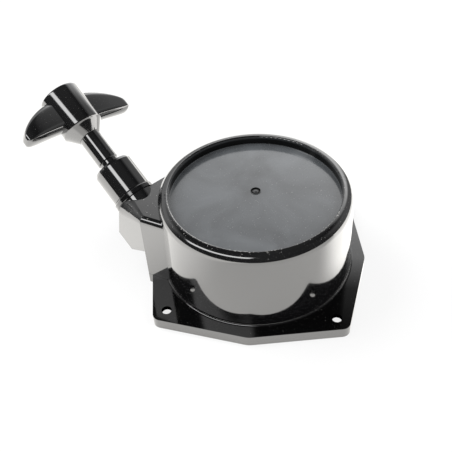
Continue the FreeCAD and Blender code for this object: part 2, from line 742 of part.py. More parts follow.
def make_knot(label, centre):
    """A knot in the rope's end."""
    ball = doc.addObject("Part::Sphere", label)
    ball.setExpression("Radius", bound("<rope_radius> * <knot_factor>"))
    doc.recompute()
    return finish(ball, label, FreeCAD.Placement(centre, FreeCAD.Rotation()))


def make_pin(index):
    """A steel pin pressed into the reel's web for one pawl."""
    return turned("pawl_pin_%d" % (index + 1), [
        ("0", "<pawl_low> - <free_gap>"),
        ("<pin_radius>", "<pawl_low> - <free_gap>"),
        ("<pin_radius>", "<reel_low> + <wall>"),
        ("0", "<reel_low> + <wall>")], pivot_frame(index))


def make_pawl(index):
    """A pawl in its pivot's frame: an arm with a square tip, a bore and a cam stud."""
    body = new_body("pawl_blank_%d" % (index + 1))
    plan = outline(body, "XY_Plane", "pawl_plan_%d" % (index + 1), PAWL_PLAN)
    block = pad(body, plan, "pawl_block_%d" % (index + 1), "<pawl_high> - <pawl_low>")
    soften(body, block, "pawl_rounding_%d" % (index + 1), "<pawl_round>", lambda edge: (
        is_upright(edge) and edge.CenterOfMass.y > 1.5 * size("stud_y")))
    bore = circle_sketch(body, "XY_Plane", "pawl_bore_%d" % (index + 1),
                         "<pin_radius> + <running_gap>")
    pocket(body, bore, "pawl_hole_%d" % (index + 1), "<pawl_high> - <pawl_low>")
    stud = circle_sketch(body, "XY_Plane", "stud_circle_%d" % (index + 1),
                         "<stud_radius>", "<stud_x>", "<stud_y>")
    pad(body, stud, "stud_%d" % (index + 1),
        "<pawl_low> - <plate_low> + <sheet_metal>", reverse=True)
    place = pivot_frame(index)
    place.Base.z = size("pawl_low")
    return finish(body, "pawl_%d" % (index + 1), place)


def stud_path(index, steps=6):
    """Middle of a cam stud in the friction plate's frame over the whole travel."""
    stud = FreeCAD.Vector(size("stud_x"), size("stud_y"), 0)
    arm = pivot_frame(index)
    path = []
    for step in range(steps + 1):
        share = step / steps
        swing = FreeCAD.Rotation(FreeCAD.Vector(0, 0, 1), share * size("pawl_travel"))
        back = FreeCAD.Rotation(FreeCAD.Vector(0, 0, 1), -share * size("plate_travel"))
        path.append(back.multVec(arm.multVec(swing.multVec(stud))))
    return path


def cam_slot(index):
    """The slot that guides one cam stud, a little longer than its path."""
    path = stud_path(index)
    low = size("plate_low") - size("margin")
    height = size("plate_high") - low + size("margin")
    half = size("stud_radius") + 2 * size("free_gap")
    up = FreeCAD.Vector(0, 0, 1)
    parts = []
    for point in path:
        parts.append(Part.makeCylinder(half, height, point + up * low, up))
    for first, second in zip(path, path[1:]):
        side = (second - first).cross(up).normalize() * half
        corners = [first + side, second + side, second - side, first - side, first + side]
        face = Part.Face(Part.makePolygon(corners))
        face.translate(up * low)
        parts.append(face.extrude(up * height))
    slot = doc.addObject("Part::Feature", "cam_slot_%d" % (index + 1))
    slot.Shape = parts[0].multiFuse(parts[1:]).removeSplitter()
    return slot


def make_friction_plate():
    """The plate that lags behind the reel and swings the pawls by its slots."""
    blank = revolved("plate_blank", [
        ("<bolt_radius> + <running_gap>", "<plate_low>"),
        ("<plate_radius> - <edge_break>", "<plate_low>"),
        ("<plate_radius>", "<plate_low> + <edge_break>"),
        ("<plate_radius>", "<plate_high>"),
        ("<bolt_radius> + <running_gap>", "<plate_high>")])
    slots = fuse("cam_slots", [cam_slot(0), cam_slot(1)])
    return finish(cut("friction_plate", blank, slots), "friction_plate")


def make_friction_spring():
    """The coil spring that presses the plate, as a plain sleeve of its outer size."""
    return turned("friction_spring", ring_profile(
        "<post_radius> + 2 * <spring_room>", "<reel_hub> - <well_wall> - <spring_room>",
        "<plate_high> + <free_gap>", "<hub_low> + <well_depth>"))


def make_washer():
    """The washer that carries the friction plate."""
    return turned("plate_washer", ring_profile(
        "<bolt_radius>", "<washer_radius>", "<plate_low> - <washer_height>", "<plate_low>"))


def make_bolt():
    """The hexagon bolt screwed into the post."""
    head_top = "<plate_low> - <washer_height>"
    head_low = head_top + " - <bolt_head>"
    body = new_body("bolt_head")
    corners = [("<bolt_flats> / sqrt(3) * cos(%d deg)" % angle,
                "<bolt_flats> / sqrt(3) * sin(%d deg)" % angle) for angle in range(0, 360, 60)]
    pad(body, outline(body, "XY_Plane", "bolt_hexagon", corners), "hexagon", "<bolt_head>")
    body.Placement.Base.z = number(bound(head_low))
    shank = cylinder("bolt_shank", "<bolt_radius>", head_top + " - <overlap>",
                     "<hub_low> + <well_depth>")
    return finish(fuse("centre_bolt", [body, shank]), "centre_bolt")


# ---------------------------------------------------------------- rope and handle

def make_rope_lead():
    """The rope from the coil through its guide to the handle, at rest."""
    bend = guide_point()
    back = size("rope_bend") * math.tan(math.radians(size("pull_rise")) / 2)
    heading, pull = pull_heading(), pull_direction()
    reach = bend.dot(heading)
    start = bend - heading * reach
    before, after = bend - heading * back, bend + pull * back
    bisector = (pull - heading).normalize()
    half_turn = math.radians(size("pull_rise")) / 2
    crown = bend + bisector * (size("rope_bend") * (1 / math.cos(half_turn) - 1))
    finish_point = outlet_centre() + pull * size("neck_start")
    path = Part.Wire([Part.makeLine(start, before),
                      Part.Arc(before, crown, after).toShape(),
                      Part.makeLine(after, finish_point)])
    section = Part.Wire([Part.makeCircle(size("rope_radius"), start, heading)])
    tube = path.makePipeShell([section], True, False)
    coil = Part.makeCylinder(tangent_radius() + size("rope_radius") + size("free_gap"),
                             size("rim_height"))
    expected = math.pi * size("rope_radius") ** 2 * path.Length
    print("rope lead: bend radius %.1f mm, volume / expected %.4f"
          % (size("rope_bend"), tube.Volume / expected))
    piece = doc.addObject("Part::Feature", "rope_lead")
    piece.Shape = tube.cut(coil)
    return finish(piece, "rope_lead")


def make_handle_rope():
    """The rope's end inside the handle."""
    rope = cylinder("handle_rope", "<rope_radius>", "<neck_start>",
                    "<hub_end> - <hub_hollow> + <sheet_metal>", pull_frame())
    return finish(rope, "handle_rope")


def make_neck():
    """The dark neck that seats in the ferrule."""
    return turned("handle_neck", [
        (ROPE_WAY, "<neck_start>"),
        ("<neck_radius> - <edge_break>", "<neck_start>"),
        ("<neck_radius>", "<neck_start> + <edge_break>"),
        ("<neck_radius>", "<stem_start>"),
        (ROPE_WAY, "<stem_start>")], pull_frame())


def make_stem():
    """The sleeve between the neck and the hub."""
    return turned("handle_stem", [
        (ROPE_WAY, "<stem_start>"),
        ("<stem_radius> - <edge_break>", "<stem_start>"),
        ("<stem_radius>", "<stem_start> + <edge_break>"),
        ("<stem_radius>", "<cone_start>"),
        (ROPE_WAY, "<cone_start>")], pull_frame())


def make_grip():
    """The T-bar grip: a hub with a cone below it and two wings for the fingers."""
    hub = revolved("grip_hub", [
        (ROPE_WAY, "<cone_start>"),
        ("<stem_radius> + <edge_break>", "<cone_start>"),
        ("<hub_radius> - 2 * <edge_break>", "<hub_start> - <edge_break>"),
        ("<hub_radius>", "<hub_start> + <edge_break>"),
        ("<hub_radius>", "<hub_end>"),
        ("<hub_radius> - <hub_rim>", "<hub_end> + <hub_rim>"),
        ("<hub_radius> - <hub_wall>", "<hub_end> + <hub_rim>"),
        ("<hub_radius> - <hub_wall>", "<hub_end> - <hub_hollow>"),
        (ROPE_WAY, "<hub_end> - <hub_hollow>")])
    wings = new_body("wings")
    side = outline(wings, "XZ_Plane", "wing_side", [
        ("<wing_reach>", "<hub_start>"),
        ("<wing_reach>", "<hub_start> + <wing_tip>"),
        ("<wing_reach> * 0.76", "<hub_start> + <wing_shoulder>"),
        ("<hub_radius> * 0.7", "<hub_end> - <wing_root>"),
        ("-<hub_radius> * 0.7", "<hub_end> - <wing_root>"),
        ("-<wing_reach> * 0.76", "<hub_start> + <wing_shoulder>"),
        ("-<wing_reach>", "<hub_start> + <wing_tip>"),
        ("-<wing_reach>", "<hub_start>")])
    slab = pad(wings, side, "wing_slab", "<wing_thickness>", midplane=True)
    reach = size("wing_reach")
    corners = soften(wings, slab, "wing_corners", "<tip_round>", lambda edge: (
        is_across(edge) and abs(edge.CenterOfMass.x) > reach * 0.9))
    shoulders = soften(wings, corners, "wing_shoulders", "<shoulder_round>", lambda edge: (
        is_across(edge) and reach * 0.7 < abs(edge.CenterOfMass.x) < reach * 0.8))
    half = size("wing_thickness") / 2
    soften(wings, shoulders, "wing_edges", "<wing_thickness> / 4", lambda edge: (
        abs(abs(edge.CenterOfMass.y) - half) < 0.01))
    bore = cylinder("grip_bore", "<hub_radius> - <hub_wall>", "<hub_end> - <hub_hollow>",
                    "<hub_end> + <hub_rim> + <margin>")
    drilling = cylinder("grip_drilling", ROPE_WAY, "<cone_start>", "<hub_end>")
    whole = fuse("grip_outside", [hub, wings])
    grip = cut("handle_grip", whole, fuse("grip_inside", [bore, drilling]))
    return finish(grip, "handle_grip", pull_frame(size("handle_twist")))


def make_retainer():
    """The steel washer inside the hub that the rope's knot bears on."""
    return turned("rope_retainer", ring_profile(
        ROPE_WAY, "<hub_radius> - <hub_wall> - <edge_break>", "<hub_end> - <hub_hollow>",
        "<hub_end> - <hub_hollow> + <sheet_metal>"), pull_frame())


def make_cap():
    """The cap that closes the hub over the knot."""
    return turned("handle_cap", [
        ("0", "<hub_end>"),
        ("<hub_radius> - <hub_wall> - <running_gap>", "<hub_end>"),
        ("<hub_radius> - <hub_wall> - <running_gap>", "<hub_end> + <cap_height> / 2"),
        ("<hub_radius> - 2 * <hub_wall>", "<hub_end> + 0.9 * <cap_height>"),
        ("0", "<hub_end> + <cap_height>")], pull_frame(size("handle_twist")))


def make_all():
    """Build every piece."""
    make_housing()
    make_post()
    make_spring_case()
    make_spring_cover()
    make_recoil_spring()
    make_eyelet()
    make_outlet_ring()
    make_ferrule()
    make_reel()
    make_rope_coil()
    for index in range(2):
        make_pin(index)
        make_pawl(index)
    make_friction_plate()
    make_friction_spring()
    make_washer()
    make_bolt()
    make_rope_lead()
    make_handle_rope()
    make_neck()
    make_stem()
    make_grip()
    make_retainer()
    make_cap()
    knot = size("knot_factor") * size("rope_radius")
    level = size("reel_low") + size("wall") + size("knot_gap") + knot
    ball = knot + size("running_gap")
    inside = size("core_radius") - size("wall") - ball
    make_knot("reel_knot", FreeCAD.Vector(0, inside, level))
    over = size("hub_end") - size("hub_hollow") + size("sheet_metal") + ball
    make_knot("handle_knot", outlet_centre() + pull_direction() * over)


def check_and_export():
    """Stop on any failed object, then write one file for each piece."""
    doc.recompute()
    for item in doc.Objects:
        if "Invalid" in item.State or "Error" in item.State:
            raise RuntimeError("%s failed: %s" % (item.Label, item.State))
    os.makedirs("parts", exist_ok=True)
    for piece in PIECES:
        shape = piece.Shape
        if shape.isNull() or not shape.isValid():
            raise RuntimeError(piece.Label + " has no valid shape")
        shape.exportStep("parts/%s.step" % piece.Label)
        print("%-18s solids %d  volume %9.1f mm3" % (piece.Label, len(shape.Solids), shape.Volume))


make_all()
check_and_export()
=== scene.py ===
"""Blender scene of a pull-cord recoil starter, built round its CAD frame.

Sizes are written in millimetres and turned to metres by mm().  The origin is on
the axis of the reel, in the plane of the flange's underside, with +Z up.  The
handle and the outlet lie on the pull axis, whose frame PullAxis gives.
"""
from __future__ import annotations

import json
import logging
import math
from collections.abc import Iterator, Sequence
from contextlib import contextmanager
from dataclasses import dataclass
from enum import Enum

import bpy
from mathutils import Matrix, Vector

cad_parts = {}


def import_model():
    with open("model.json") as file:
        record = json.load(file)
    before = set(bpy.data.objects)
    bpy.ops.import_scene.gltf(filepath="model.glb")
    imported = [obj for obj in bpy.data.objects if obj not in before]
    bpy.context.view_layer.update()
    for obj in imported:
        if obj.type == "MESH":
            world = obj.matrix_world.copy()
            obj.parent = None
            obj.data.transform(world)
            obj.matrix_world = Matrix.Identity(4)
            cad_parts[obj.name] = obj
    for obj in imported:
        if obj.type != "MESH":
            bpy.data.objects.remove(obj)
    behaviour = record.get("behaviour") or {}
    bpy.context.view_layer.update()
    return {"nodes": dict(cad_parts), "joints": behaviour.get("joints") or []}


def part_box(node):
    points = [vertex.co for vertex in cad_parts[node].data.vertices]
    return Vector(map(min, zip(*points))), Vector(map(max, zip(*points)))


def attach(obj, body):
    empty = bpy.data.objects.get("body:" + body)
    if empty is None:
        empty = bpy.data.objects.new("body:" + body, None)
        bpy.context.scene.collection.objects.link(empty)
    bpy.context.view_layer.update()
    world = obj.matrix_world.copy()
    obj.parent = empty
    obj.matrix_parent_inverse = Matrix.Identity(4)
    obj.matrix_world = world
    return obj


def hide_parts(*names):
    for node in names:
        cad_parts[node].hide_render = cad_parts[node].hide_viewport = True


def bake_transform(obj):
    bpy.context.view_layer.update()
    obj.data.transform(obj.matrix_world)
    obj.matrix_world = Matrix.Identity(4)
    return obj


LOG = logging.getLogger("recoil_starter")
Socket = bpy.types.NodeSocket
Tree = bpy.types.NodeTree
Material = bpy.types.Material
Piece = bpy.types.Object
GRIT_PEAK = 0.78
Profile = Sequence[tuple[float, float]]
Socketed = Socket | float
Band = tuple[Socket, float, float]
WELD = 3.0e-5


class Joinery(Enum):
    """How a tool acts on a piece."""

    JOIN = "UNION"
    CUT = "DIFFERENCE"


class Lay(Enum):
    """What a rope's braid follows."""

    PULL_AXIS = "the pull axis"
    OWN_LENGTH = "the piece's own UV map"


# ---------------------------------------------------------------- small helpers

def mm(value: float) -> float:
    """Millimetres as metres."""
    return value / 1000.0


def per_mm(width: float) -> float:
    """The texture scale whose features are about that many millimetres wide."""
    return 1.0 / mm(width)


def linear(code: str) -> tuple[float, float, float, float]:
    """An sRGB hex colour as linear red, green, blue and alpha.

    Args:
        code: six hex digits.

    Returns:
        The linear colour with an alpha of 1.
    """
    channels = [int(code[place:place + 2], 16) / 255 for place in (0, 2, 4)]
    red, green, blue = (
        c / 12.92 if c <= 0.04045 else ((c + 0.055) / 1.055) ** 2.4 for c in channels)
    return red, green, blue, 1.0


def add_node(tree: Tree, kind: str, inputs: dict | None = None,
             **settings: object) -> bpy.types.Node:
    """Add one node with its settings, values and links.

    Args:
        tree: the node tree that gets it.
        kind: the node's type name after ShaderNode.
        inputs: for each input, by name or number, a value or an output socket.
        **settings: the node's own properties.

    Returns:
        The new node.
    """
    node = tree.nodes.new("ShaderNode" + kind)
    for name, value in settings.items():
        setattr(node, name, value)
    for key, value in (inputs or {}).items():
        if isinstance(value, Socket):
            tree.links.new(value, node.inputs[key])
        else:
            node.inputs[key].default_value = value
    return node


def within(tree: Tree, bands: Sequence[Band], full: float = 1.0,
           curve: str = "LINEAR") -> Socket:
    """The share of each place that lies within all of some bands.

    Args:
        tree: the node tree.
        bands: for each, a value, where its share is 0 and where it is 1.
        full: the share of a place that lies well within them all.
        curve: how a share runs from 0 to 1.

    Returns:
        The socket of that share.
    """
    share = full
    for value, none, whole in bands:
        band = add_node(tree, "MapRange", {
            "Value": value, "From Min": none, "From Max": whole},
            interpolation_type=curve)
        share = add_node(tree, "Math", {
            0: band.outputs[0], 1: share}, operation="MULTIPLY").outputs[0]
    return share


# ---------------------------------------------------------------- the bench

def take_up(piece: Piece) -> None:
    """Select one object alone and make it active."""
    bpy.ops.object.select_all(action="DESELECT")
    piece.select_set(True)
    bpy.context.view_layer.objects.active = piece


@contextmanager
def on_the_bench(piece: Piece) -> Iterator[None]:
    """Edit mode on one piece, left again at the end."""
    take_up(piece)
    bpy.ops.object.mode_set(mode="EDIT")
    try:
        yield
    finally:
        bpy.ops.object.mode_set(mode="OBJECT")


def close_up(piece: Piece, crease: float = 35.0) -> None:
    """Weld a mesh's doubles, turn its faces outwards and shade it.

    Args:
        piece: the mesh object.
        crease: the angle in degrees past which an edge shows.
    """
    with on_the_bench(piece):
        bpy.ops.mesh.select_all(action="SELECT")
        bpy.ops.mesh.remove_doubles(threshold=WELD)
        bpy.ops.mesh.normals_make_consistent(inside=False)
    bpy.ops.object.shade_smooth_by_angle(angle=math.radians(crease))


def eased(profile: Sequence[tuple[float, ...]], steps: int = 5) -> list[tuple[float, float]]:
    """Round the corners of a profile.

    Args:
        profile: (radius, height) or (radius, height, rounding) for each corner.
        steps: points along each rounding.

    Returns:
        The profile's points in order.
    """
    points: list[tuple[float, float]] = []
    for place, corner in enumerate(profile):
        here = Vector(corner[:2])
        if len(corner) < 3 or place in (0, len(profile) - 1):
            points.append((here.x, here.y))
            continue
        before = (Vector(profile[place - 1][:2]) - here).normalized() * corner[2]
        after = (Vector(profile[place + 1][:2]) - here).normalized() * corner[2]
        for step in range(steps + 1):
            share = step / steps
            spot = here + before * (1 - share) ** 2 + after * share ** 2
            points.append((spot.x, spot.y))
    return points


def turned(name: str, profile: Profile, sides: int = 96) -> Piece:
    """Turn a profile about Z by drawing a circle out through its rings.

    A radius of zero closes the shape with a pole, and a profile that ends where
    it starts closes on itself.

    Args:
        name: the piece's name.
        profile: (radius, height) in millimetres for each ring.
        sides: vertices of each ring.

    Returns:
        The closed mesh object.
    """
    rings = [(max(radius, 0.005), height) for radius, height in profile]
    bpy.ops.object.select_all(action="DESELECT")
    bpy.ops.mesh.primitive_circle_add(
        vertices=sides, radius=mm(rings[0][0]), location=(0, 0, 0))
    piece = bpy.context.object
    piece.name = name
    with on_the_bench(piece):
        bpy.ops.mesh.select_all(action="SELECT")
        bpy.ops.transform.translate(value=(0, 0, mm(rings[0][1])))
        for (radius, height), (wider, higher) in zip(rings, rings[1:]):
            bpy.ops.mesh.extrude_region_move(
                TRANSFORM_OT_translate={"value": (0, 0, mm(higher - height))})
            growth = wider / radius
            bpy.ops.transform.resize(
                value=(growth, growth, 1), center_override=(0, 0, mm(higher)))
    close_up(piece)
    return piece


def apply_modifier(piece: Piece, kind: str, **settings: object) -> None:
    """Add one modifier with its settings and apply it."""
    modifier = piece.modifiers.new(kind.lower(), kind)
    for name, value in settings.items():
        setattr(modifier, name, value)
    take_up(piece)
    bpy.ops.object.modifier_apply(modifier=modifier.name)


def combine(piece: Piece, tool: Piece, way: Joinery) -> None:
    """Join a tool to a piece or cut it away, and put the tool away.

    Args:
        piece: the piece that is worked on.
        tool: the tool, which is removed.
        way: join or cut.
    """
    apply_modifier(piece, "BOOLEAN", object=tool, operation=way.value, solver="EXACT")
    bpy.data.objects.remove(tool, do_unlink=True)


def settle(piece: Piece, place: Matrix) -> None:
    """Put a piece made at the origin in its place, with that place in its mesh."""
    piece.matrix_world = place
    take_up(piece)
    bpy.ops.object.transform_apply(location=True, rotation=True, scale=True)


def hand_over(piece: Piece, body: str, slot: str, material: Material, *nodes: str) -> None:
    """Dress a piece and tie it to the frame.

    Args:
        piece: the finished piece.
        body: the CAD body that it rides on.
        slot: the name of its material slot; not used.
        material: its material.
        *nodes: the CAD nodes that it stands for.
    """
    piece.data.materials.clear()
    piece.data.materials.append(material)
    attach(piece, body)
    if nodes:
        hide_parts(*nodes)
    LOG.info("%s: %d faces on %s", piece.name, len(piece.data.polygons), body)


# ---------------------------------------------------------------- ropes and wires

def smooth_route(points: Sequence[Vector]) -> list[Vector]:
    """The line of a NURBS spline that has these control points.

    Args:
        points: the route's points, in metres.

    Returns:
        Points along the smooth line, in order.
    """
    curve = bpy.data.curves.new("route", "CURVE")
    curve.dimensions = "3D"
    curve.resolution_u = 10
    spline = curve.splines.new("NURBS")
    spline.points.add(len(points) - 1)
    for place, point in zip(spline.points, points):
        place.co = (*point, 1.0)
    spline.order_u = 3
    spline.use_endpoint_u = True
    carrier = bpy.data.objects.new("route", curve)
    bpy.context.scene.collection.objects.link(carrier)
    bpy.context.view_layer.update()
    line = bpy.data.meshes.new_from_object(carrier)
    found = [vertex.co.copy() for vertex in line.vertices]
    bpy.data.objects.remove(carrier, do_unlink=True)
    bpy.data.curves.remove(curve)
    bpy.data.meshes.remove(line)
    return found


def laid(name: str, points: Sequence[Vector], radius: float) -> Piece:
    """A round tube along the smooth line of a route, as a mesh with a UV map.

    Args:
        name: the piece's name.
        points: the route's points, in metres.
        radius: the tube's radius, in millimetres.

    Returns:
        The mesh object.
    """
    line = smooth_route(points)
    curve = bpy.data.curves.new(name, "CURVE")
    curve.dimensions = "3D"
    curve.bevel_depth = mm(radius)
    curve.bevel_resolution = 4
    curve.use_fill_caps = True
    spline = curve.splines.new("POLY")
    spline.points.add(len(line) - 1)
    for place, point in zip(spline.points, line):
        place.co = (*point, 1.0)
    piece = bpy.data.objects.new(name, curve)
    bpy.context.scene.collection.objects.link(piece)
    take_up(piece)
    bpy.ops.object.convert(target="MESH")
    piece = bpy.context.object
    bpy.ops.object.shade_smooth_by_angle(angle=math.radians(50))
    return piece


def winding(radii: tuple[float, float], heights: tuple[float, float], turns: float,
            per_turn: int = 16) -> list[Vector]:
    """Control points of a coil about Z.

    Args:
        radii: first and last radius, in millimetres.
        heights: first and last height, in millimetres.
        turns: how many turns.
        per_turn: points in each turn.

    Returns:
        The points, in metres, a little outside the line so that it runs true.
    """
    count = int(turns * per_turn)
    swell = 1.0 / math.cos(math.pi / per_turn) ** 0.5
    points = []
    for index in range(count + 1):
        share = index / count
        angle = 2 * math.pi * turns * share
        radius = (radii[0] + (radii[1] - radii[0]) * share) * swell
        height = heights[0] + (heights[1] - heights[0]) * share
        points.append(Vector((mm(radius * math.cos(angle)), mm(radius * math.sin(angle)),
                              mm(height))))
    return points


# ---------------------------------------------------------------- studio

@dataclass(frozen=True)
class Softbox:
    """One soft lamp of the studio, aimed at the object.

    Attributes:
        name: what the lamp is called.
        place: its middle, in metres.
        size: its width and height, in metres.
        power: its power in watts.
    """

    name: str
    place: tuple[float, float, float]
    size: tuple[float, float]
    power: float

    def build(self, target: Vector) -> None:
        """Add the lamp and aim it.

        Args:
            target: the point that it faces.
        """
        data = bpy.data.lights.new(self.name, "AREA")
        data.shape = "RECTANGLE"
        data.size, data.size_y = self.size
        data.energy = self.power
        lamp = bpy.data.objects.new(self.name, data)
        lamp.location = self.place
        lamp.visible_glossy = False
        lamp.rotation_mode = "QUATERNION"
        lamp.rotation_quaternion = (Vector(self.place) - target).to_track_quat("Z", "Y")
        bpy.context.scene.collection.objects.link(lamp)


@dataclass
class Studio:
    """The floor, the white surroundings, the lamps and the camera.

    Attributes:
        camera_place, camera_aim, camera_up: the camera's place in metres and its axes.
        lens: focal length in millimetres on a 36 mm sensor.
        floor_size: side of the floor in metres.
        ambient: strength of the surroundings as light.
        sweep, flag: strength of the white sweep and the dark flags in reflections.
        floor_warmth: sRGB colour of the floor in reflections.
        floor_front, floor_left, floor_right: its strength in reflections.
        left_edge, right_edge, rear_edge: where these run out, in millimetres.
        behind_edge, overhead_edge, beside_edge, sweep_edge: where the sweep starts
            and ends, as parts of a unit direction.
        beside, sweep_sides: its strength far to the right, and from left to right.
        strip: strength of the strip light in reflections.
        strip_width, strip_length: where it starts and ends across and along.
        strip_normal, strip_middle: unit directions of its plane and its middle.
        softboxes: the lamps.
    """

    camera_place: tuple[float, float, float] = (0.036095, -0.361629, 0.377575)
    camera_aim: tuple[float, float, float] = (-0.113819, 0.720226, -0.684339)
    camera_up: tuple[float, float, float] = (-0.033535, 0.685638, 0.727170)
    lens: float = 57.35
    floor_size: float = 8.0
    ambient: float = 0.55
    sweep: float = 1.2
    flag: float = 0.03
    floor_warmth: str = "FFFDF9"
    floor_front: float = 1.0
    floor_left: float = 1.6
    floor_right: float = 1.5
    left_edge: tuple[float, float] = (-50.0, -120.0)
    right_edge: tuple[float, float] = (60.0, 95.0)
    rear_edge: tuple[float, float] = (-60.0, -10.0)
    behind_edge: tuple[float, float] = (-0.15, 0.45)
    overhead_edge: tuple[float, float] = (0.6, 0.78)
    beside_edge: tuple[float, float] = (0.2, 0.48)
    beside: float = 0.15
    sweep_edge: tuple[float, float] = (-0.35, 0.1)
    sweep_sides: tuple[float, float] = (0.3, 1.1)
    strip: float = 2.4
    strip_width: tuple[float, float] = (0.15, 0.09)
    strip_length: tuple[float, float] = (0.87, 0.91)
    strip_normal: tuple[float, float, float] = (-0.299, -0.782, -0.547)
    strip_middle: tuple[float, float, float] = (-0.462, -0.385, 0.803)
    softboxes: tuple[Softbox, ...] = (
        Softbox("key_softbox", (-0.9, 0.3, 1.1), (0.9, 0.9), 22.0),
        Softbox("fill_softbox", (1.0, -0.2, 1.0), (0.8, 0.8), 12.0),
    )

    def build(self) -> None:
        """Set the view transform and build the whole studio."""
        bpy.context.scene.view_settings.view_transform = "Standard"
        self.build_floor()
        self.build_world()
        for softbox in self.softboxes:
            softbox.build(Vector((-0.03, 0.0, 0.04)))
        self.build_camera()
        LOG.info("studio ready")

    def seen_directly(self, tree: Tree) -> Socket:
        """A socket that is 1 for camera, glossy and transmission rays, else 0."""
        path = add_node(tree, "LightPath")
        first = add_node(tree, "Math", {
            0: path.outputs["Is Camera Ray"], 1: path.outputs["Is Glossy Ray"]},
            operation="MAXIMUM")
        return add_node(tree, "Math", {
            0: first.outputs[0], 1: path.outputs["Is Transmission Ray"]},
            operation="MAXIMUM").outputs[0]

    def build_floor(self) -> None:
        """A plain pale sheet that shows white and keeps a soft shadow."""
        bpy.ops.object.select_all(action="DESELECT")
        bpy.ops.mesh.primitive_plane_add(size=self.floor_size, location=(0, 0, 0))
        floor = bpy.context.object
        floor.name = "studio_floor"
        material = bpy.data.materials.new("matt_white_paper_sheet")
        material.use_nodes = True
        tree = material.node_tree
        tree.nodes.clear()
        paper = add_node(tree, "BsdfDiffuse", {"Color": linear("E6E6E6")})
        path = add_node(tree, "LightPath")
        tone = add_node(tree, "Mix", {
            0: path.outputs["Is Glossy Ray"], 6: linear("FFFFFF"),
            7: linear(self.floor_warmth)}, data_type="RGBA")
        glow = add_node(tree, "Emission", {
            "Color": tone.outputs[2], "Strength": self.floor_glow(tree)})
        seen = self.seen_directly(tree)
        share = add_node(tree, "Math", {0: seen, 1: 0.8}, operation="MULTIPLY")
        mixed = add_node(tree, "MixShader", {
            0: share.outputs[0], 1: paper.outputs[0], 2: glow.outputs[0]})
        add_node(tree, "OutputMaterial", {"Surface": mixed.outputs[0]})
        floor.data.materials.append(material)

    def floor_glow(self, tree: Tree) -> Socket:
        """White for the eye; reflections see it brighter left and right of the object."""
        place = add_node(tree, "SeparateXYZ", {
            0: add_node(tree, "TexCoord").outputs["Object"]})
        across, along = place.outputs["X"], place.outputs["Y"]
        left = add_node(tree, "MapRange", {
            "Value": across, "From Min": mm(self.left_edge[0]),
            "From Max": mm(self.left_edge[1]), "To Min": self.floor_front,
            "To Max": self.floor_left}, interpolation_type="SMOOTHSTEP")
        right = within(tree, (
            (across, mm(self.right_edge[0]), mm(self.right_edge[1])),
            (along, mm(self.rear_edge[0]), mm(self.rear_edge[1]))),
            self.floor_right, "SMOOTHSTEP")
        lit = add_node(tree, "Math", {0: right, 1: left.outputs[0]}, operation="ADD")
        path = add_node(tree, "LightPath")
        return add_node(tree, "MapRange", {
            "Value": path.outputs["Is Glossy Ray"], "To Min": 1.0,
            "To Max": lit.outputs[0]}).outputs[0]

    def strip_glow(self, tree: Tree) -> Socket:
        """The strip light over the camera's left shoulder, as reflections see it."""
        heading = add_node(tree, "TexCoord").outputs["Generated"]
        across = add_node(tree, "VectorMath", {
            0: heading, 1: self.strip_normal}, operation="DOT_PRODUCT")
        off = add_node(tree, "Math", {0: across.outputs["Value"]}, operation="ABSOLUTE")
        along = add_node(tree, "VectorMath", {
            0: heading, 1: self.strip_middle}, operation="DOT_PRODUCT")
        return within(tree, (
            (off.outputs[0], *self.strip_width),
            (along.outputs["Value"], *self.strip_length)), self.strip, "SMOOTHSTEP")

    def build_world(self) -> None:
        """White all round for the eye.

        Reflections see a white sweep behind the object that darkens overhead and on
        the camera's side, as black flags above and beside a camera give, so that
        glossy black shapes keep dark bands along their edges.
        """
        world = bpy.data.worlds.new("white_sweep_with_black_flags")
        world.use_nodes = True
        tree = world.node_tree
        tree.nodes.clear()
        path = add_node(tree, "LightPath")
        heading = add_node(tree, "SeparateXYZ", {
            0: add_node(tree, "TexCoord").outputs["Generated"]})
        behind = add_node(tree, "MapRange", {
            "Value": heading.outputs["Y"], "From Min": self.behind_edge[0],
            "From Max": self.behind_edge[1]},
            interpolation_type="SMOOTHSTEP")
        height = add_node(tree, "MapRange", {
            "Value": heading.outputs["Z"], "From Min": self.overhead_edge[0],
            "From Max": self.overhead_edge[1],
            "To Min": self.sweep, "To Max": self.flag})
        side = add_node(tree, "MapRange", {
            "Value": heading.outputs["X"], "From Min": self.sweep_edge[0],
            "From Max": self.sweep_edge[1], "To Min": self.sweep_sides[0],
            "To Max": self.sweep_sides[1]})
        beside = add_node(tree, "MapRange", {
            "Value": heading.outputs["X"], "From Min": self.beside_edge[0],
            "From Max": self.beside_edge[1], "To Min": 1.0, "To Max": self.beside},
            interpolation_type="SMOOTHSTEP")
        sides = add_node(tree, "Math", {
            0: beside.outputs[0], 1: side.outputs[0]}, operation="MULTIPLY")
        lit = add_node(tree, "Math", {
            0: height.outputs[0], 1: sides.outputs[0]}, operation="MULTIPLY")
        mirrored = add_node(tree, "MapRange", {
            "Value": behind.outputs[0], "To Min": self.flag, "To Max": lit.outputs[0]})
        with_strip = add_node(tree, "Math", {
            0: mirrored.outputs[0], 1: self.strip_glow(tree)}, operation="ADD")
        as_light = add_node(tree, "MapRange", {
            "Value": path.outputs["Is Glossy Ray"], "To Min": self.ambient,
            "To Max": with_strip.outputs[0]})
        direct = add_node(tree, "Math", {
            0: path.outputs["Is Camera Ray"], 1: path.outputs["Is Transmission Ray"]},
            operation="MAXIMUM")
        strength = add_node(tree, "MapRange", {
            "Value": direct.outputs[0], "To Min": as_light.outputs[0], "To Max": 1.0})
        background = add_node(tree, "Background", {
            "Color": (1.0, 1.0, 1.0, 1.0), "Strength": strength.outputs[0]})
        add_node(tree, "OutputWorld", {"Surface": background.outputs[0]})
        bpy.context.scene.world = world

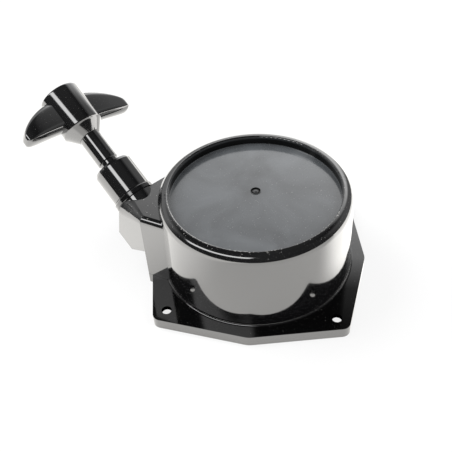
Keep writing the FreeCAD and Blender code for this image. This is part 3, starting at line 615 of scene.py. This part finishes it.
    def build_camera(self) -> None:
        """The camera, level with the horizon of its own up vector."""
        data = bpy.data.cameras.new("studio_camera")
        data.lens = self.lens
        data.sensor_width = 36.0
        data.clip_start = 0.01
        camera = bpy.data.objects.new("studio_camera", data)
        aim = Vector(self.camera_aim).normalized()
        side = aim.cross(Vector(self.camera_up)).normalized()
        up = side.cross(aim)
        turn = Matrix((side, up, -aim)).transposed().to_4x4()
        camera.matrix_world = Matrix.Translation(self.camera_place) @ turn
        bpy.context.scene.collection.objects.link(camera)
        bpy.context.scene.camera = camera


# ---------------------------------------------------------------- finishes

@dataclass(frozen=True)
class Finish:
    """What every finish shares.

    Attributes:
        name: the material's common name and how its surface was made.
        colour: the sRGB colour of most of the surface.
        other: the sRGB colour that it drifts to.
        drift: size in millimetres of that drift.
        roughness: the lowest and highest roughness.
    """

    name: str
    colour: str
    other: str
    drift: float
    roughness: tuple[float, float]

    def start(self) -> tuple[Material, Tree, Socket]:
        """An empty node material, its tree and its object coordinates."""
        material = bpy.data.materials.new(self.name)
        material.use_nodes = True
        tree = material.node_tree
        tree.nodes.clear()
        return material, tree, add_node(tree, "TexCoord").outputs["Object"]

    def drifted(self, tree: Tree, spot: Socket) -> Socket:
        """The colour, drifting slowly between the finish's two colours."""
        cloud = add_node(tree, "TexNoise", {
            "Vector": spot, "Scale": per_mm(self.drift), "Detail": 4.0})
        share = add_node(tree, "MapRange", {
            "Value": cloud.outputs["Fac"], "From Min": 0.35, "From Max": 0.65})
        return add_node(tree, "Mix", {
            0: share.outputs[0], 6: linear(self.colour), 7: linear(self.other)},
            data_type="RGBA").outputs[2]

    def surfaced(self, material: Material, tree: Tree, inputs: dict) -> Material:
        """The material, whose surface is a shader with these inputs."""
        shader = add_node(tree, "BsdfPrincipled", inputs)
        add_node(tree, "OutputMaterial", {"Surface": shader.outputs[0]})
        return material

    def spread(self, tree: Tree, value: Socket, ends: tuple[float, float]) -> Socket:
        """A noise's middle range stretched between two values."""
        return add_node(tree, "MapRange", {
            "Value": value, "From Min": 0.3, "From Max": 0.7,
            "To Min": ends[0], "To Max": ends[1]}).outputs[0]


@dataclass(frozen=True)
class GlossMoulding(Finish):
    """Injection-moulded plastic from a polished mould.

    The deep gloss gives the eye mirror-like reflections, which the slow waviness of a
    moulded wall bends a little, and handling leaves a haze and specks of dust.

    Attributes:
        ripple: depth in millimetres of the slow waviness.
        peel: depth in millimetres of the fine orange peel.
        skin_ior: IOR of the polished skin.
        dust: share of the top surfaces that holds specks, from 0 to 1.
        coat_roughness: roughness of the skin where nothing has touched it.
        rubbing: roughness that handling adds to it.
    """

    ripple: float = 0.03
    peel: float = 0.0015
    skin_ior: float = 2.4
    dust: float = 0.0
    coat_roughness: float = 0.03
    rubbing: float = 0.04

    def grit_limit(self, tree: Tree, spot: Socket) -> Socketed:
        """The value of the grit's noise past which a place holds a speck."""
        return GRIT_PEAK - 0.06 * self.dust

    def wear_and_painted_light(self, tree: Tree, spot: Socket, smeared: Socket, inputs: dict) -> dict:
        """The shader's inputs, as wear, painted sheen and painted shade change them on some
        pieces.
        """
        return inputs

    def material(self) -> Material:
        """Build the material."""
        material, tree, spot = self.start()
        colour = self.drifted(tree, spot)
        haze = add_node(tree, "TexNoise", {
            "Vector": spot, "Scale": per_mm(14.0), "Detail": 6.0, "Roughness": 0.62})
        rough = self.spread(tree, haze.outputs["Fac"], self.roughness)
        # Specks of dust lie only on what faces up; on the housing they lie thicker along the
        # front of the rim, where they also paint its highlight line.
        grit = add_node(tree, "TexNoise", {
            "Vector": spot, "Scale": per_mm(0.9), "Detail": 1.0})
        specks = add_node(tree, "MapRange", {
            "Value": grit.outputs["Fac"], "From Min": self.grit_limit(tree, spot),
            "From Max": GRIT_PEAK})
        facing = add_node(tree, "SeparateXYZ", {
            0: add_node(tree, "TexCoord").outputs["Normal"]})
        lying = add_node(tree, "MapRange", {
            "Value": facing.outputs["Z"], "From Min": 0.3, "From Max": 0.9,
            "To Max": self.dust})
        dust_and_rim_highlight = add_node(tree, "Math", {
            0: specks.outputs[0], 1: lying.outputs[0]}, operation="MULTIPLY")
        coloured = add_node(tree, "Mix", {
            0: dust_and_rim_highlight.outputs[0], 6: colour, 7: linear("B4B2AE")}, data_type="RGBA")
        duller = add_node(tree, "Mix", {0: dust_and_rim_highlight.outputs[0], 2: rough, 3: 0.6})
        smears = add_node(tree, "TexNoise", {
            "Vector": spot, "Scale": per_mm(38.0), "Detail": 5.0, "Roughness": 0.5,
            "Distortion": 0.6})
        smeared = add_node(tree, "MapRange", {
            "Value": smears.outputs["Fac"], "From Min": 0.3, "From Max": 0.7,
            "To Min": 0.42, "To Max": 1.0})
        rubbed = add_node(tree, "Math", {
            0: smeared.outputs[0], 1: self.rubbing, 2: self.coat_roughness},
            operation="MULTIPLY_ADD")
        waves = add_node(tree, "TexNoise", {
            "Vector": spot, "Scale": per_mm(24.0), "Detail": 1.0})
        skin = add_node(tree, "TexNoise", {
            "Vector": spot, "Scale": per_mm(1.4), "Detail": 2.0})
        slow = add_node(tree, "Bump", {
            "Height": waves.outputs["Fac"], "Distance": mm(self.ripple)})
        fine = add_node(tree, "Bump", {
            "Height": skin.outputs["Fac"], "Distance": mm(self.peel),
            "Normal": slow.outputs[0]})
        return self.surfaced(material, tree, self.wear_and_painted_light(tree, spot, smeared.outputs[0], {
            "Base Color": coloured.outputs[2], "Roughness": duller.outputs[0],
            "IOR": 1.54, "Specular IOR Level": 1.0, "Coat Weight": 1.0,
            "Coat Roughness": rubbed.outputs[0], "Coat IOR": self.skin_ior,
            "Normal": fine.outputs[0], "Coat Normal": slow.outputs[0]}))


@dataclass(frozen=True)
class HousingMoulding(GlossMoulding):
    """The housing's moulding: a satin recess with painted sheen, painted shade in dark
    corners, and grit along the rim.

    The recess's floor is satin, and its grey colour is a painted sheen, blotched where it is
    smeared.
    The flange's front, the holes' edges, the mark's groove and the recess's wall are painted
    black as shade. Dirt gathers along the rim at the front, and its specks also paint the
    rim's highlight line.

    Attributes:
        recess: radius in millimetres of the recess in the drum's top.
        level: height in millimetres of the recess's floor.
        bolt_place: distance in millimetres of each bolt hole from both planes.
        bolt_edge: radius in millimetres of a bolt hole, with its rounding.
        mark: distance in millimetres of the moulding mark from the middle.
        mark_ring: radius in millimetres of the middle of the mark's groove.
        mark_width: width in millimetres of that groove.
        flange: height in millimetres of the flange's top.
        wall_shade: how far the recess's wall is shaded, from 0 to 1.
        flange_shade: how far the flange's front is shaded, from 0 to 1.
        sheen_grey: the sRGB grey painted on the recess's floor as its sheen.
        satin_coat: how much of the skin's gloss that floor keeps.
        satin_haze: roughness that it has more than the rest.
        rim_grit_and_highlight: the grit's limit along the rim, where its light specks also
            paint a highlight line.
    """

    recess: float = 58.0
    level: float = 62.5
    bolt_place: float = 56.57
    bolt_edge: float = 3.4
    mark: float = 5.0
    mark_ring: float = 2.3
    mark_width: float = 1.8
    flange: float = 8.0
    wall_shade: float = 0.85
    flange_shade: float = 0.8
    sheen_grey: str = "585B5E"
    satin_coat: float = 0.5
    satin_haze: float = 0.13
    rim_grit_and_highlight: float = 0.5

    def away(self, tree: Tree, spot: Socket, place: tuple[float, float]) -> Socket:
        """Distance in millimetres of each place from an upright line."""
        flat = add_node(tree, "VectorMath", {
            0: spot, 1: (1000.0, 1000.0, 0.0)}, operation="MULTIPLY")
        return add_node(tree, "VectorMath", {
            0: flat.outputs[0], 1: (place[0], place[1], 0.0)},
            operation="DISTANCE").outputs["Value"]

    def grit_limit(self, tree: Tree, spot: Socket) -> Socketed:
        """Grit lies thicker along the rim at the front, as dirt and as a painted highlight
        line.
        """
        axes = add_node(tree, "SeparateXYZ", {0: spot})
        radius = self.away(tree, spot, (0.0, 0.0))
        grit_and_highlight_band = within(tree, (
            (radius, self.recess - 2.2, self.recess - 0.2),
            (radius, self.recess + 1.8, self.recess + 0.6),
            (axes.outputs["Y"], mm(5.0), mm(-30.0))))
        return add_node(tree, "MapRange", {
            "Value": grit_and_highlight_band, "To Min": super().grit_limit(tree, spot),
            "To Max": self.rim_grit_and_highlight}).outputs[0]

    def wear_and_painted_light(self, tree: Tree, spot: Socket, smeared: Socket, inputs: dict) -> dict:
        """The shader's inputs: satin in the recess with a painted grey sheen, and painted
        black shade without reflections where light hardly gets.

        Args:
            tree: the material's node tree.
            spot: its object coordinates.
            smeared: how far each place is smeared.
            inputs: the inputs of the plain moulding.

        Returns:
            The changed inputs.
        """
        satin, shaded = self.patches(tree, spot)
        # Painted sheen: the satin floor's colour is greyed, in blotches that follow the
        # smears.
        sheen_share = add_node(tree, "Math", {0: satin, 1: smeared}, operation="MULTIPLY")
        greyed = add_node(tree, "Mix", {
            0: sheen_share.outputs[0], 6: inputs["Base Color"], 7: linear(self.sheen_grey)},
            data_type="RGBA")
        # Painted shade: shaded places are painted near black.
        black = add_node(tree, "Mix", {
            0: shaded, 6: greyed.outputs[2], 7: linear("020202")}, data_type="RGBA")
        # Under painted shade the specular reflection and the coat go; polished is one minus
        # that shade.
        polished = add_node(tree, "Math", {0: 1.0, 1: shaded}, operation="SUBTRACT")
        coated = add_node(tree, "MapRange", {
            "Value": satin, "To Min": polished.outputs[0], "To Max": self.satin_coat})
        rougher = add_node(tree, "Math", {
            0: satin, 1: self.satin_haze, 2: inputs["Coat Roughness"]},
            operation="MULTIPLY_ADD")
        return inputs | {
            "Base Color": black.outputs[2], "Specular IOR Level": polished.outputs[0],
            "Coat Weight": coated.outputs[0], "Coat Roughness": rougher.outputs[0]}

    def patches(self, tree: Tree, spot: Socket) -> tuple[Socket, Socket]:
        """How far each place is satin, with painted sheen, and under painted shade, from 0
        to 1.
        """
        axes = add_node(tree, "SeparateXYZ", {0: spot})
        rise, depth = axes.outputs["Z"], axes.outputs["Y"]
        radius = self.away(tree, spot, (0.0, 0.0))
        above_floor = (rise, mm(self.level - 1.5), mm(self.level - 0.8))
        satin = within(tree, (
            (radius, self.recess + 0.1, self.recess - 0.2),
            (rise, mm(self.level + 0.5), mm(self.level + 0.2)), above_floor))
        folded = add_node(tree, "VectorMath", {0: spot}, operation="ABSOLUTE")
        from_bolt = self.away(tree, folded.outputs[0], (self.bolt_place, self.bolt_place))
        from_mark = add_node(tree, "Math", {
            0: self.away(tree, spot, (0.0, self.mark)), 1: self.mark_ring,
            2: self.mark_width / 2}, operation="COMPARE").outputs[0]
        # Painted shade at the bolt holes' edges, in the mark's groove, on the recess's wall
        # and on the flange's front.
        shades = (
            within(tree, ((from_bolt, self.bolt_edge + 0.2, self.bolt_edge),)),
            within(tree, ((from_mark, 0.0, 1.0), above_floor)),
            within(tree, (
                (radius, self.recess + 0.5, self.recess + 0.2),
                (rise, mm(self.level + 0.3), mm(self.level + 0.8)),
                (rise, mm(self.level + 5.5), mm(self.level + 4.0))), self.wall_shade),
            within(tree, (
                (rise, mm(self.flange - 0.3), mm(self.flange - 0.15)),
                (rise, mm(self.flange + 0.3), mm(self.flange + 0.1)),
                (depth, 0.0, mm(-30.0))), self.flange_shade))
        shaded = shades[0]
        for shade in shades[1:]:
            shaded = add_node(tree, "Math", {
                0: shaded, 1: shade}, operation="MAXIMUM").outputs[0]
        return satin, shaded


@dataclass(frozen=True)
class SatinNylon(Finish):
    """Unfilled nylon as it leaves a fine-sparked mould: waxy and a little translucent."""

    spark: float = 0.35

    def material(self) -> Material:
        """Build the material."""
        material, tree, spot = self.start()
        texture = add_node(tree, "TexNoise", {
            "Vector": spot, "Scale": per_mm(self.spark), "Detail": 2.0})
        bump = add_node(tree, "Bump", {
            "Height": texture.outputs["Fac"], "Distance": mm(0.01)})
        return self.surfaced(material, tree, {
            "Base Color": self.drifted(tree, spot),
            "Roughness": self.spread(tree, texture.outputs["Fac"], self.roughness),
            "IOR": 1.53, "Subsurface Weight": 0.15, "Subsurface Scale": mm(1.5),
            "Normal": bump.outputs[0]})


@dataclass(frozen=True)
class WorkedSteel(Finish):
    """Steel with the marks of its last working.

    Attributes:
        grain: width in millimetres of the marks.
        depth: depth in millimetres of the marks.
        stretch: how many times longer than wide they are, along the strip or sheet.
        spangle: size in millimetres of plated crystals, or 0 for none.
    """

    grain: float = 0.5
    depth: float = 0.002
    stretch: float = 1.0
    spangle: float = 0.0

    def material(self) -> Material:
        """Build the material."""
        material, tree, spot = self.start()
        colour = self.drifted(tree, spot)
        drawn = add_node(tree, "Mapping", {
            "Vector": spot, "Scale": (1.0, 1.0, self.stretch)})
        marks = add_node(tree, "TexNoise", {
            "Vector": drawn.outputs[0], "Scale": per_mm(self.grain), "Detail": 3.0})
        if self.spangle:
            crystals = add_node(tree, "TexVoronoi", {
                "Vector": spot, "Scale": per_mm(self.spangle)})
            tone = add_node(tree, "SeparateColor", {0: crystals.outputs["Color"]})
            share = add_node(tree, "MapRange", {"Value": tone.outputs[0], "To Max": 0.3})
            colour = add_node(tree, "Mix", {
                0: share.outputs[0], 6: colour, 7: linear(self.other)},
                data_type="RGBA").outputs[2]
        bump = add_node(tree, "Bump", {
            "Height": marks.outputs["Fac"], "Distance": mm(self.depth)})
        return self.surfaced(material, tree, {
            "Base Color": colour, "Metallic": 1.0,
            "Roughness": self.spread(tree, marks.outputs["Fac"], self.roughness),
            "Normal": bump.outputs[0]})


@dataclass(frozen=True)
class BraidedRope(Finish):
    """Braided polyester cord: two sets of strands that cross in small diamonds.

    Attributes:
        lay: what the braid follows.
        strands: strands in each set round the rope.
        pitch: length in millimetres of one turn of a strand.
        length: length in millimetres of the piece, for a braid on its UV map.
        turn: the pull axis as Euler angles, for a braid along it.
        centre: a point on the pull axis.
    """

    lay: Lay = Lay.OWN_LENGTH
    strands: int = 8
    pitch: float = 16.0
    length: float = 100.0
    turn: tuple[float, float, float] = (0.0, 0.0, 0.0)
    centre: tuple[float, float, float] = (0.0, 0.0, 0.0)

    def unrolled(self, tree: Tree, spot: Socket) -> tuple[Socket, Socket]:
        """Turns round the rope and pitches along it.

        Args:
            tree: the material's node tree.
            spot: its object coordinates.

        Returns:
            The sockets of the turns round and the pitches along.
        """
        if self.lay is Lay.OWN_LENGTH:
            flat = add_node(tree, "SeparateXYZ", {
                0: add_node(tree, "TexCoord").outputs["UV"]})
            along = add_node(tree, "Math", {
                0: flat.outputs["X"], 1: self.length / self.pitch}, operation="MULTIPLY")
            return flat.outputs["Y"], along.outputs[0]
        local = add_node(tree, "Mapping", {
            "Vector": spot, "Location": self.centre, "Rotation": self.turn},
            vector_type="TEXTURE")
        axes = add_node(tree, "SeparateXYZ", {0: local.outputs[0]})
        angle = add_node(tree, "Math", {
            0: axes.outputs["Y"], 1: axes.outputs["X"]}, operation="ARCTAN2")
        around = add_node(tree, "Math", {
            0: angle.outputs[0], 1: 0.5 / math.pi}, operation="MULTIPLY")
        along = add_node(tree, "Math", {
            0: axes.outputs["Z"], 1: per_mm(self.pitch)}, operation="MULTIPLY")
        return around.outputs[0], along.outputs[0]

    def strand_set(self, tree: Tree, around: Socket, along: Socket, way: str) -> Socket:
        """The rounded height of one set of strands, wound one way."""
        phase = add_node(tree, "Math", {0: around, 1: along}, operation=way)
        angle = add_node(tree, "Math", {
            0: phase.outputs[0], 1: math.pi * self.strands}, operation="MULTIPLY")
        wave = add_node(tree, "Math", {0: angle.outputs[0]}, operation="SINE")
        return add_node(tree, "Math", {0: wave.outputs[0]}, operation="ABSOLUTE").outputs[0]

    def material(self) -> Material:
        """Build the material."""
        material, tree, spot = self.start()
        around, along = self.unrolled(tree, spot)
        over = self.strand_set(tree, around, along, "ADD")
        under = self.strand_set(tree, around, along, "SUBTRACT")
        weave = add_node(tree, "Math", {0: over, 1: under}, operation="MAXIMUM")
        fibres = add_node(tree, "TexNoise", {
            "Vector": spot, "Scale": per_mm(0.25), "Detail": 2.0})
        height = add_node(tree, "Math", {
            0: fibres.outputs["Fac"], 1: 0.25, 2: weave.outputs[0]},
            operation="MULTIPLY_ADD")
        gap = add_node(tree, "MapRange", {
            "Value": weave.outputs[0], "From Min": 0.55, "From Max": 0.95,
            "To Min": 0.45, "To Max": 1.0})
        shaded = add_node(tree, "Mix", {
            0: gap.outputs[0], 6: linear("3C3A34"), 7: self.drifted(tree, spot)},
            data_type="RGBA")
        bump = add_node(tree, "Bump", {"Height": height.outputs[0], "Distance": mm(0.35)})
        return self.surfaced(material, tree, {
            "Base Color": shaded.outputs[2],
            "Roughness": self.spread(tree, fibres.outputs["Fac"], self.roughness),
            "Sheen Weight": 0.3, "Normal": bump.outputs[0]})


HOUSING_ABS = HousingMoulding("gloss_black_moulded_abs", "0B0B0C", "161617", 60.0,
                            (0.06, 0.16), dust=0.9)
HANDLE_NYLON = GlossMoulding("gloss_black_moulded_nylon", "0A0A0B", "151516", 30.0,
                             (0.06, 0.14), ripple=0.02, dust=0.3)
FERRULE_ACETAL = GlossMoulding("polished_black_acetal", "09090A", "121213", 25.0,
                               (0.04, 0.1), ripple=0.01)
RING_ACETAL = GlossMoulding("black_moulded_acetal", "070708", "0E0E0F", 20.0,
                            (0.1, 0.2), ripple=0.01, skin_ior=1.7)
REEL_NYLON = SatinNylon("satin_natural_nylon", "C6C4BC", "D2CFC6", 30.0, (0.38, 0.5))
ZINC_PLATE = WorkedSteel("bright_zinc_plated_steel", "CDCDCA", "B9BABC", 8.0, (0.22, 0.38),
                         grain=0.5, spangle=3.0)
CASE_SHEET = WorkedSteel("zinc_plated_pressed_sheet", "BCBCBC", "A5A6A8", 12.0,
                         (0.28, 0.45), grain=0.7, spangle=6.0)
SPRING_STEEL = WorkedSteel("blued_spring_strip", "7F838B", "5D6A82", 10.0, (0.22, 0.36),
                           grain=0.3, stretch=8.0)
EYELET_STEEL = WorkedSteel("polished_hard_chrome", "E0E0E0", "D2D4D6", 6.0, (0.05, 0.12),
                           grain=0.3, depth=0.0005)
PAWL_STEEL = WorkedSteel("oiled_hardened_steel", "A09E99", "7D7A74", 5.0, (0.3, 0.5),
                         grain=0.4, depth=0.004)
PLATE_STEEL = WorkedSteel("pressed_zinc_plated_steel", "C8C7C0", "B4B2A6", 9.0,
                          (0.25, 0.42), grain=0.6, spangle=4.0)


# ---------------------------------------------------------------- the object

@dataclass(frozen=True)
class PullAxis:
    """The line of the pull, whose origin is in the outlet ring's upper face.

    Attributes:
        centre: that origin, in metres.
        direction: unit vector along the pull.
        twist: turn of the T-bar about the axis, in degrees.
    """

    centre: Vector
    direction: Vector
    twist: float = 14.5

    @classmethod
    def from_frame(cls, joints: Sequence[dict], ring_height: float = 4.0) -> PullAxis:
        """Find the axis from the pull joint and the outlet ring's box.

        Args:
            joints: the frame's joints.
            ring_height: height of the outlet ring, in millimetres.

        Returns:
            The axis.
        """
        pull = next(joint for joint in joints if joint["name"] == "handle_pull")
        direction = Vector(pull["axis"]).normalized()
        low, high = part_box("outlet_ring")
        return cls((low + high) / 2 + direction * mm(ring_height / 2), direction)

    def matrix(self, twist: float = 0.0) -> Matrix:
        """The frame with Z along the pull and X level, turned by a twist in degrees."""
        across = -Vector((0, 0, 1)).cross(self.direction).normalized()
        third = self.direction.cross(across)
        turn = Matrix((across, third, self.direction)).transposed().to_4x4()
        spin = Matrix.Rotation(math.radians(twist), 4, "Z")
        return Matrix.Translation(self.centre) @ turn @ spin

    def point(self, length: float) -> Vector:
        """The point on the axis at a length in millimetres."""
        return self.centre + self.direction * mm(length)


@dataclass
class Handle:
    """The T-bar: a hub with a cone and two finger wings, its cap and the hollow for the
    rope's end.
    """

    axis: PullAxis
    hub_radius: float = 15.3
    hub_start: float = 60.0
    hub_end: float = 89.2
    cone_start: float = 52.4
    cone_radius: float = 8.4
    rim: float = 1.6
    socket: float = 7.85
    socket_end: float = 55.0
    bore: float = 11.3
    bore_floor: float = 80.0
    rope_way: float = 2.75
    wing_stations: tuple[tuple[float, float, float, float], ...] = (
        # reach, lower side, upper side, half thickness
        (0.0, 62.8, 88.4, 6.0),
        (14.0, 62.8, 87.4, 6.2),
        (22.0, 62.6, 85.4, 6.2),
        (30.0, 62.2, 82.0, 6.1),
        (36.0, 61.9, 78.4, 5.9),
        (41.0, 61.8, 74.6, 5.5),
        (44.0, 62.3, 71.2, 4.8),
        (45.2, 63.6, 68.8, 3.6),
    )

    def build(self) -> None:
        """Build and dress the grip and its cap."""
        material = HANDLE_NYLON.material()
        grip = self.build_hub()
        combine(grip, self.build_wings(), Joinery.JOIN)
        combine(grip, self.build_bore(), Joinery.CUT)
        close_up(grip, 32.0)
        settle(grip, self.axis.matrix(self.axis.twist))
        hand_over(grip, "handle", "handle_plastic", material, "handle_grip")
        cap = self.build_cap()
        settle(cap, self.axis.matrix(self.axis.twist))
        hand_over(cap, "handle", "handle_plastic", material, "handle_cap")

    def build_hub(self) -> Piece:
        """The hub, solid, with its cone and rounded rim."""
        return turned("handle_grip_moulding", eased([
            (0, self.cone_start),
            (self.cone_radius, self.cone_start, 0.5),
            (self.hub_radius - 1.2, self.hub_start - 0.6, 0.5),
            (self.hub_radius, self.hub_start + 0.6, 0.6),
            (self.hub_radius, self.hub_end + self.rim, self.rim),
            (self.bore - 0.4, self.hub_end + self.rim),
            (0, self.hub_end + self.rim)]), 128)

    def build_wings(self) -> Piece:
        """Both wings as one bar, drawn out from a rounded section at the middle."""
        wing = self.build_wing()
        other = wing.copy()
        other.data = wing.data.copy()
        bpy.context.scene.collection.objects.link(other)
        settle(other, Matrix.Rotation(math.pi, 4, "Z"))
        combine(wing, other, Joinery.JOIN)
        return wing

    def build_wing(self) -> Piece:
        """One wing from inside the hub to its tip."""
        _, low, high, half = self.wing_stations[0]
        bpy.ops.object.select_all(action="DESELECT")
        bpy.ops.mesh.primitive_plane_add(
            size=1, location=(0, 0, 0), rotation=(0, math.pi / 2, 0))
        wing = bpy.context.object
        wing.name = "finger_wings"
        take_up(wing)
        bpy.ops.object.transform_apply(location=True, rotation=True, scale=True)
        with on_the_bench(wing):
            bpy.ops.mesh.select_all(action="SELECT")
            bpy.ops.transform.resize(value=(1, mm(2 * half), mm(high - low)))
            bpy.ops.mesh.bevel(offset=mm(5.7), segments=8, affect="VERTICES")
            bpy.ops.transform.translate(value=(mm(-2), 0, mm((high + low) / 2)))
            place, middle, reach = -2.0, (high + low) / 2, high - low
            for out, bottom, top, thick in self.wing_stations[1:]:
                bpy.ops.mesh.extrude_region_move(
                    TRANSFORM_OT_translate={"value": (
                        mm(out - place), 0, mm((top + bottom) / 2 - middle))})
                bpy.ops.transform.resize(
                    value=(1, thick / half, (top - bottom) / reach),
                    center_override=(mm(out), 0, mm((top + bottom) / 2)))
                place, middle, reach, half = out, (top + bottom) / 2, top - bottom, thick
            bpy.ops.mesh.inset(thickness=mm(1.2))
            bpy.ops.transform.translate(value=(mm(0.5), 0, 0))
            bpy.ops.mesh.select_all(action="SELECT")
            bpy.ops.mesh.normals_make_consistent(inside=False)
        apply_modifier(wing, "SUBSURF", levels=2, render_levels=2)
        return wing

    def build_cap(self) -> Piece:
        """The disc that closes the hub over the knot, with its crowned top."""
        top = self.hub_end + self.rim
        low = top - 1.3
        return turned("hub_cap_moulding", [
            (0, low), (self.bore - 0.1, low), (self.bore - 0.1, top),
            (self.bore - 1.0, top + 0.5), (0.5 * self.bore, top + 0.8), (0, top + 0.9)], 96)

    def build_bore(self) -> Piece:
        """The tool for the hollow round the knot and the rope's drilling."""
        return turned("hub_hollow", [
            (0, self.cone_start - 1), (self.socket, self.cone_start - 1),
            (self.socket, self.socket_end), (self.rope_way, self.socket_end),
            (self.rope_way, self.bore_floor), (self.bore, self.bore_floor),
            (self.bore, self.hub_end + self.rim + 1), (0, self.hub_end + self.rim + 1)], 64)


@dataclass
class Cordage:
    """The starter rope on the reel, through its guide and into the handle."""

    axis: PullAxis
    radius: float = 2.25
    groove: tuple[float, float] = (33.3, 38.7)
    coil: tuple[float, float] = (42.4, 51.2)
    turns: float = 3.0
    level: float = 36.0
    bend_run: float = 9.0
    lead_end: float = 14.0
    rope_end: float = 81.2
    knot_radius: float = 4.05

    def build(self) -> None:
        """Build and dress every length of rope."""
        own = BraidedRope("braided_polyester_cord", "D8D5C8", "C9C5B5", 20.0, (0.6, 0.8),
                          length=1900.0).material()
        turn = self.axis.matrix().to_euler()
        along = BraidedRope("braided_polyester_cord_pulled", "D8D5C8", "C9C5B5", 20.0,
                            (0.6, 0.8), lay=Lay.PULL_AXIS, turn=tuple(turn),
                            centre=tuple(self.axis.centre)).material()
        self.build_coil(own)
        self.build_lead(along)
        self.build_end(along)
        low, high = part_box("reel_knot")
        self.build_knot("reel_end_knot", (low + high) / 2, "reel", "reel_knot", own)
        low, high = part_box("handle_knot")
        self.build_knot("handle_end_knot", (low + high) / 2, "handle", "handle_knot", own)

    def build_coil(self, material: Material) -> None:
        """Two layers side by side, wound from the groove's floor outwards."""
        inner, outer = self.coil
        low, high = self.groove
        route = (winding((inner, outer), (low, low), self.turns)
                 + winding((outer, inner), (high, high), self.turns))
        coil = laid("wound_rope", route, self.radius)
        hand_over(coil, "reel", "rope_fibre", material, "rope_coil")

    def build_lead(self, material: Material) -> None:
        """The run from the coil through the guide."""
        direction = self.axis.direction
        heading = Vector((direction.x, direction.y, 0)).normalized()
        rise = self.axis.centre.z - mm(self.level)
        bend = self.axis.centre - direction * (rise / direction.z)
        start = bend - heading * bend.dot(heading)
        run = mm(self.bend_run)
        route = [start, (start + bend) / 2, bend - heading * run, bend + direction * run,
                 self.axis.point(-12.0), self.axis.point(-2.0), self.axis.point(6.0),
                 self.axis.point(self.lead_end)]
        lead = laid("rope_run", route, self.radius)
        lead.data.materials.append(material)
        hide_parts("rope_lead")
        self.axis.point(0.0)
        self.axis.point(self.lead_end)
        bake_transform(lead)
        LOG.info("rope_run: stretches between housing and handle")

    def build_end(self, material: Material) -> None:
        """The rope's end inside the handle."""
        route = [self.axis.point(self.lead_end + share * (self.rope_end - self.lead_end))
                 for share in (0.0, 0.25, 0.5, 0.75, 1.0)]
        end = laid("rope_in_handle", route, self.radius)
        hand_over(end, "handle", "rope_fibre", material, "handle_rope")

    def build_knot(self, name: str, middle: Vector, body: str, node: str,
                   material: Material) -> None:
        """An overhand knot, drawn tight.

        Args:
            name: the piece's name.
            middle: the knot's middle, in metres.
            body: the CAD body that it rides on.
            node: the CAD node that it stands for.
            material: the rope's material.
        """
        strand = 0.42 * self.knot_radius
        scale = (self.knot_radius - strand) / 3.0
        route = []
        for step in range(25):
            angle = 2 * math.pi * step / 24
            route.append(middle + Vector((
                mm(scale * (math.sin(angle) + 2 * math.sin(2 * angle))),
                mm(scale * (math.cos(angle) - 2 * math.cos(2 * angle))),
                mm(-scale * 1.6 * math.sin(3 * angle)))))
        knot = laid(name, route, strand)
        hand_over(knot, body, "rope_fibre", material, node)


@dataclass
class FrictionSpring:
    """The coil spring that presses the friction plate."""

    coil_radius: float = 10.2
    wire: float = 0.9
    turns: float = 5.5

    def build(self) -> None:
        """Wind the spring between its seats and dress it."""
        low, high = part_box("friction_spring")
        ends = (low.z * 1000 + self.wire, high.z * 1000 - self.wire)
        route = (winding((self.coil_radius,) * 2, (ends[0],) * 2, 1.0)
                 + winding((self.coil_radius,) * 2, ends, self.turns)[1:]
                 + winding((self.coil_radius,) * 2, (ends[1],) * 2, 1.0)[8:])
        spring = laid("wound_friction_spring", route, self.wire)
        hand_over(spring, "reel", "spring_steel", SPRING_STEEL.material(), "friction_spring")


@dataclass
class FramePieces:
    """The CAD nodes whose shape is right, each with its finish."""

    finishes: tuple[tuple[str, Finish, tuple[str, ...]], ...] = (
        ("housing_plastic", HOUSING_ABS, ("housing",)),
        ("handle_plastic", HANDLE_NYLON, ("handle_stem", "handle_neck")),
        ("ferrule_plastic", FERRULE_ACETAL, ("outlet_ferrule",)),
        ("ring_plastic", RING_ACETAL, ("outlet_ring",)),
        ("reel_nylon", REEL_NYLON, ("reel",)),
        ("plated_steel", ZINC_PLATE, (
            "centre_post", "centre_bolt", "plate_washer", "rope_retainer",
            "pawl_pin_1", "pawl_pin_2")),
        ("case_steel", CASE_SHEET, ("spring_case", "spring_cover")),
        ("spring_steel", SPRING_STEEL, ("recoil_spring",)),
        ("eyelet_steel", EYELET_STEEL, ("rope_eyelet",)),
        ("pawl_steel", PAWL_STEEL, ("pawl_1", "pawl_2")),
        ("plate_steel", PLATE_STEEL, ("friction_plate",)),
    )

    def dress(self, nodes: dict[str, Piece]) -> None:
        """Give each node its material.

        Args:
            nodes: the frame's nodes by name.
        """
        for slot, finish, names in self.finishes:
            material = finish.material()
            for name in names:
                nodes[name].data.materials.clear()
                nodes[name].data.materials.append(material)
                LOG.info("%s: %s", name, finish.name)


def main() -> None:
    """Load the frame, build every piece in order and report them."""
    logging.basicConfig(level=logging.INFO, format="%(name)s: %(message)s")
    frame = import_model()
    Studio().build()
    FramePieces().dress(frame["nodes"])
    axis = PullAxis.from_frame(frame["joints"])
    Handle(axis).build()
    Cordage(axis).build()
    FrictionSpring().build()
    bpy.context.view_layer.update()


if __name__ == "__main__":
    main()
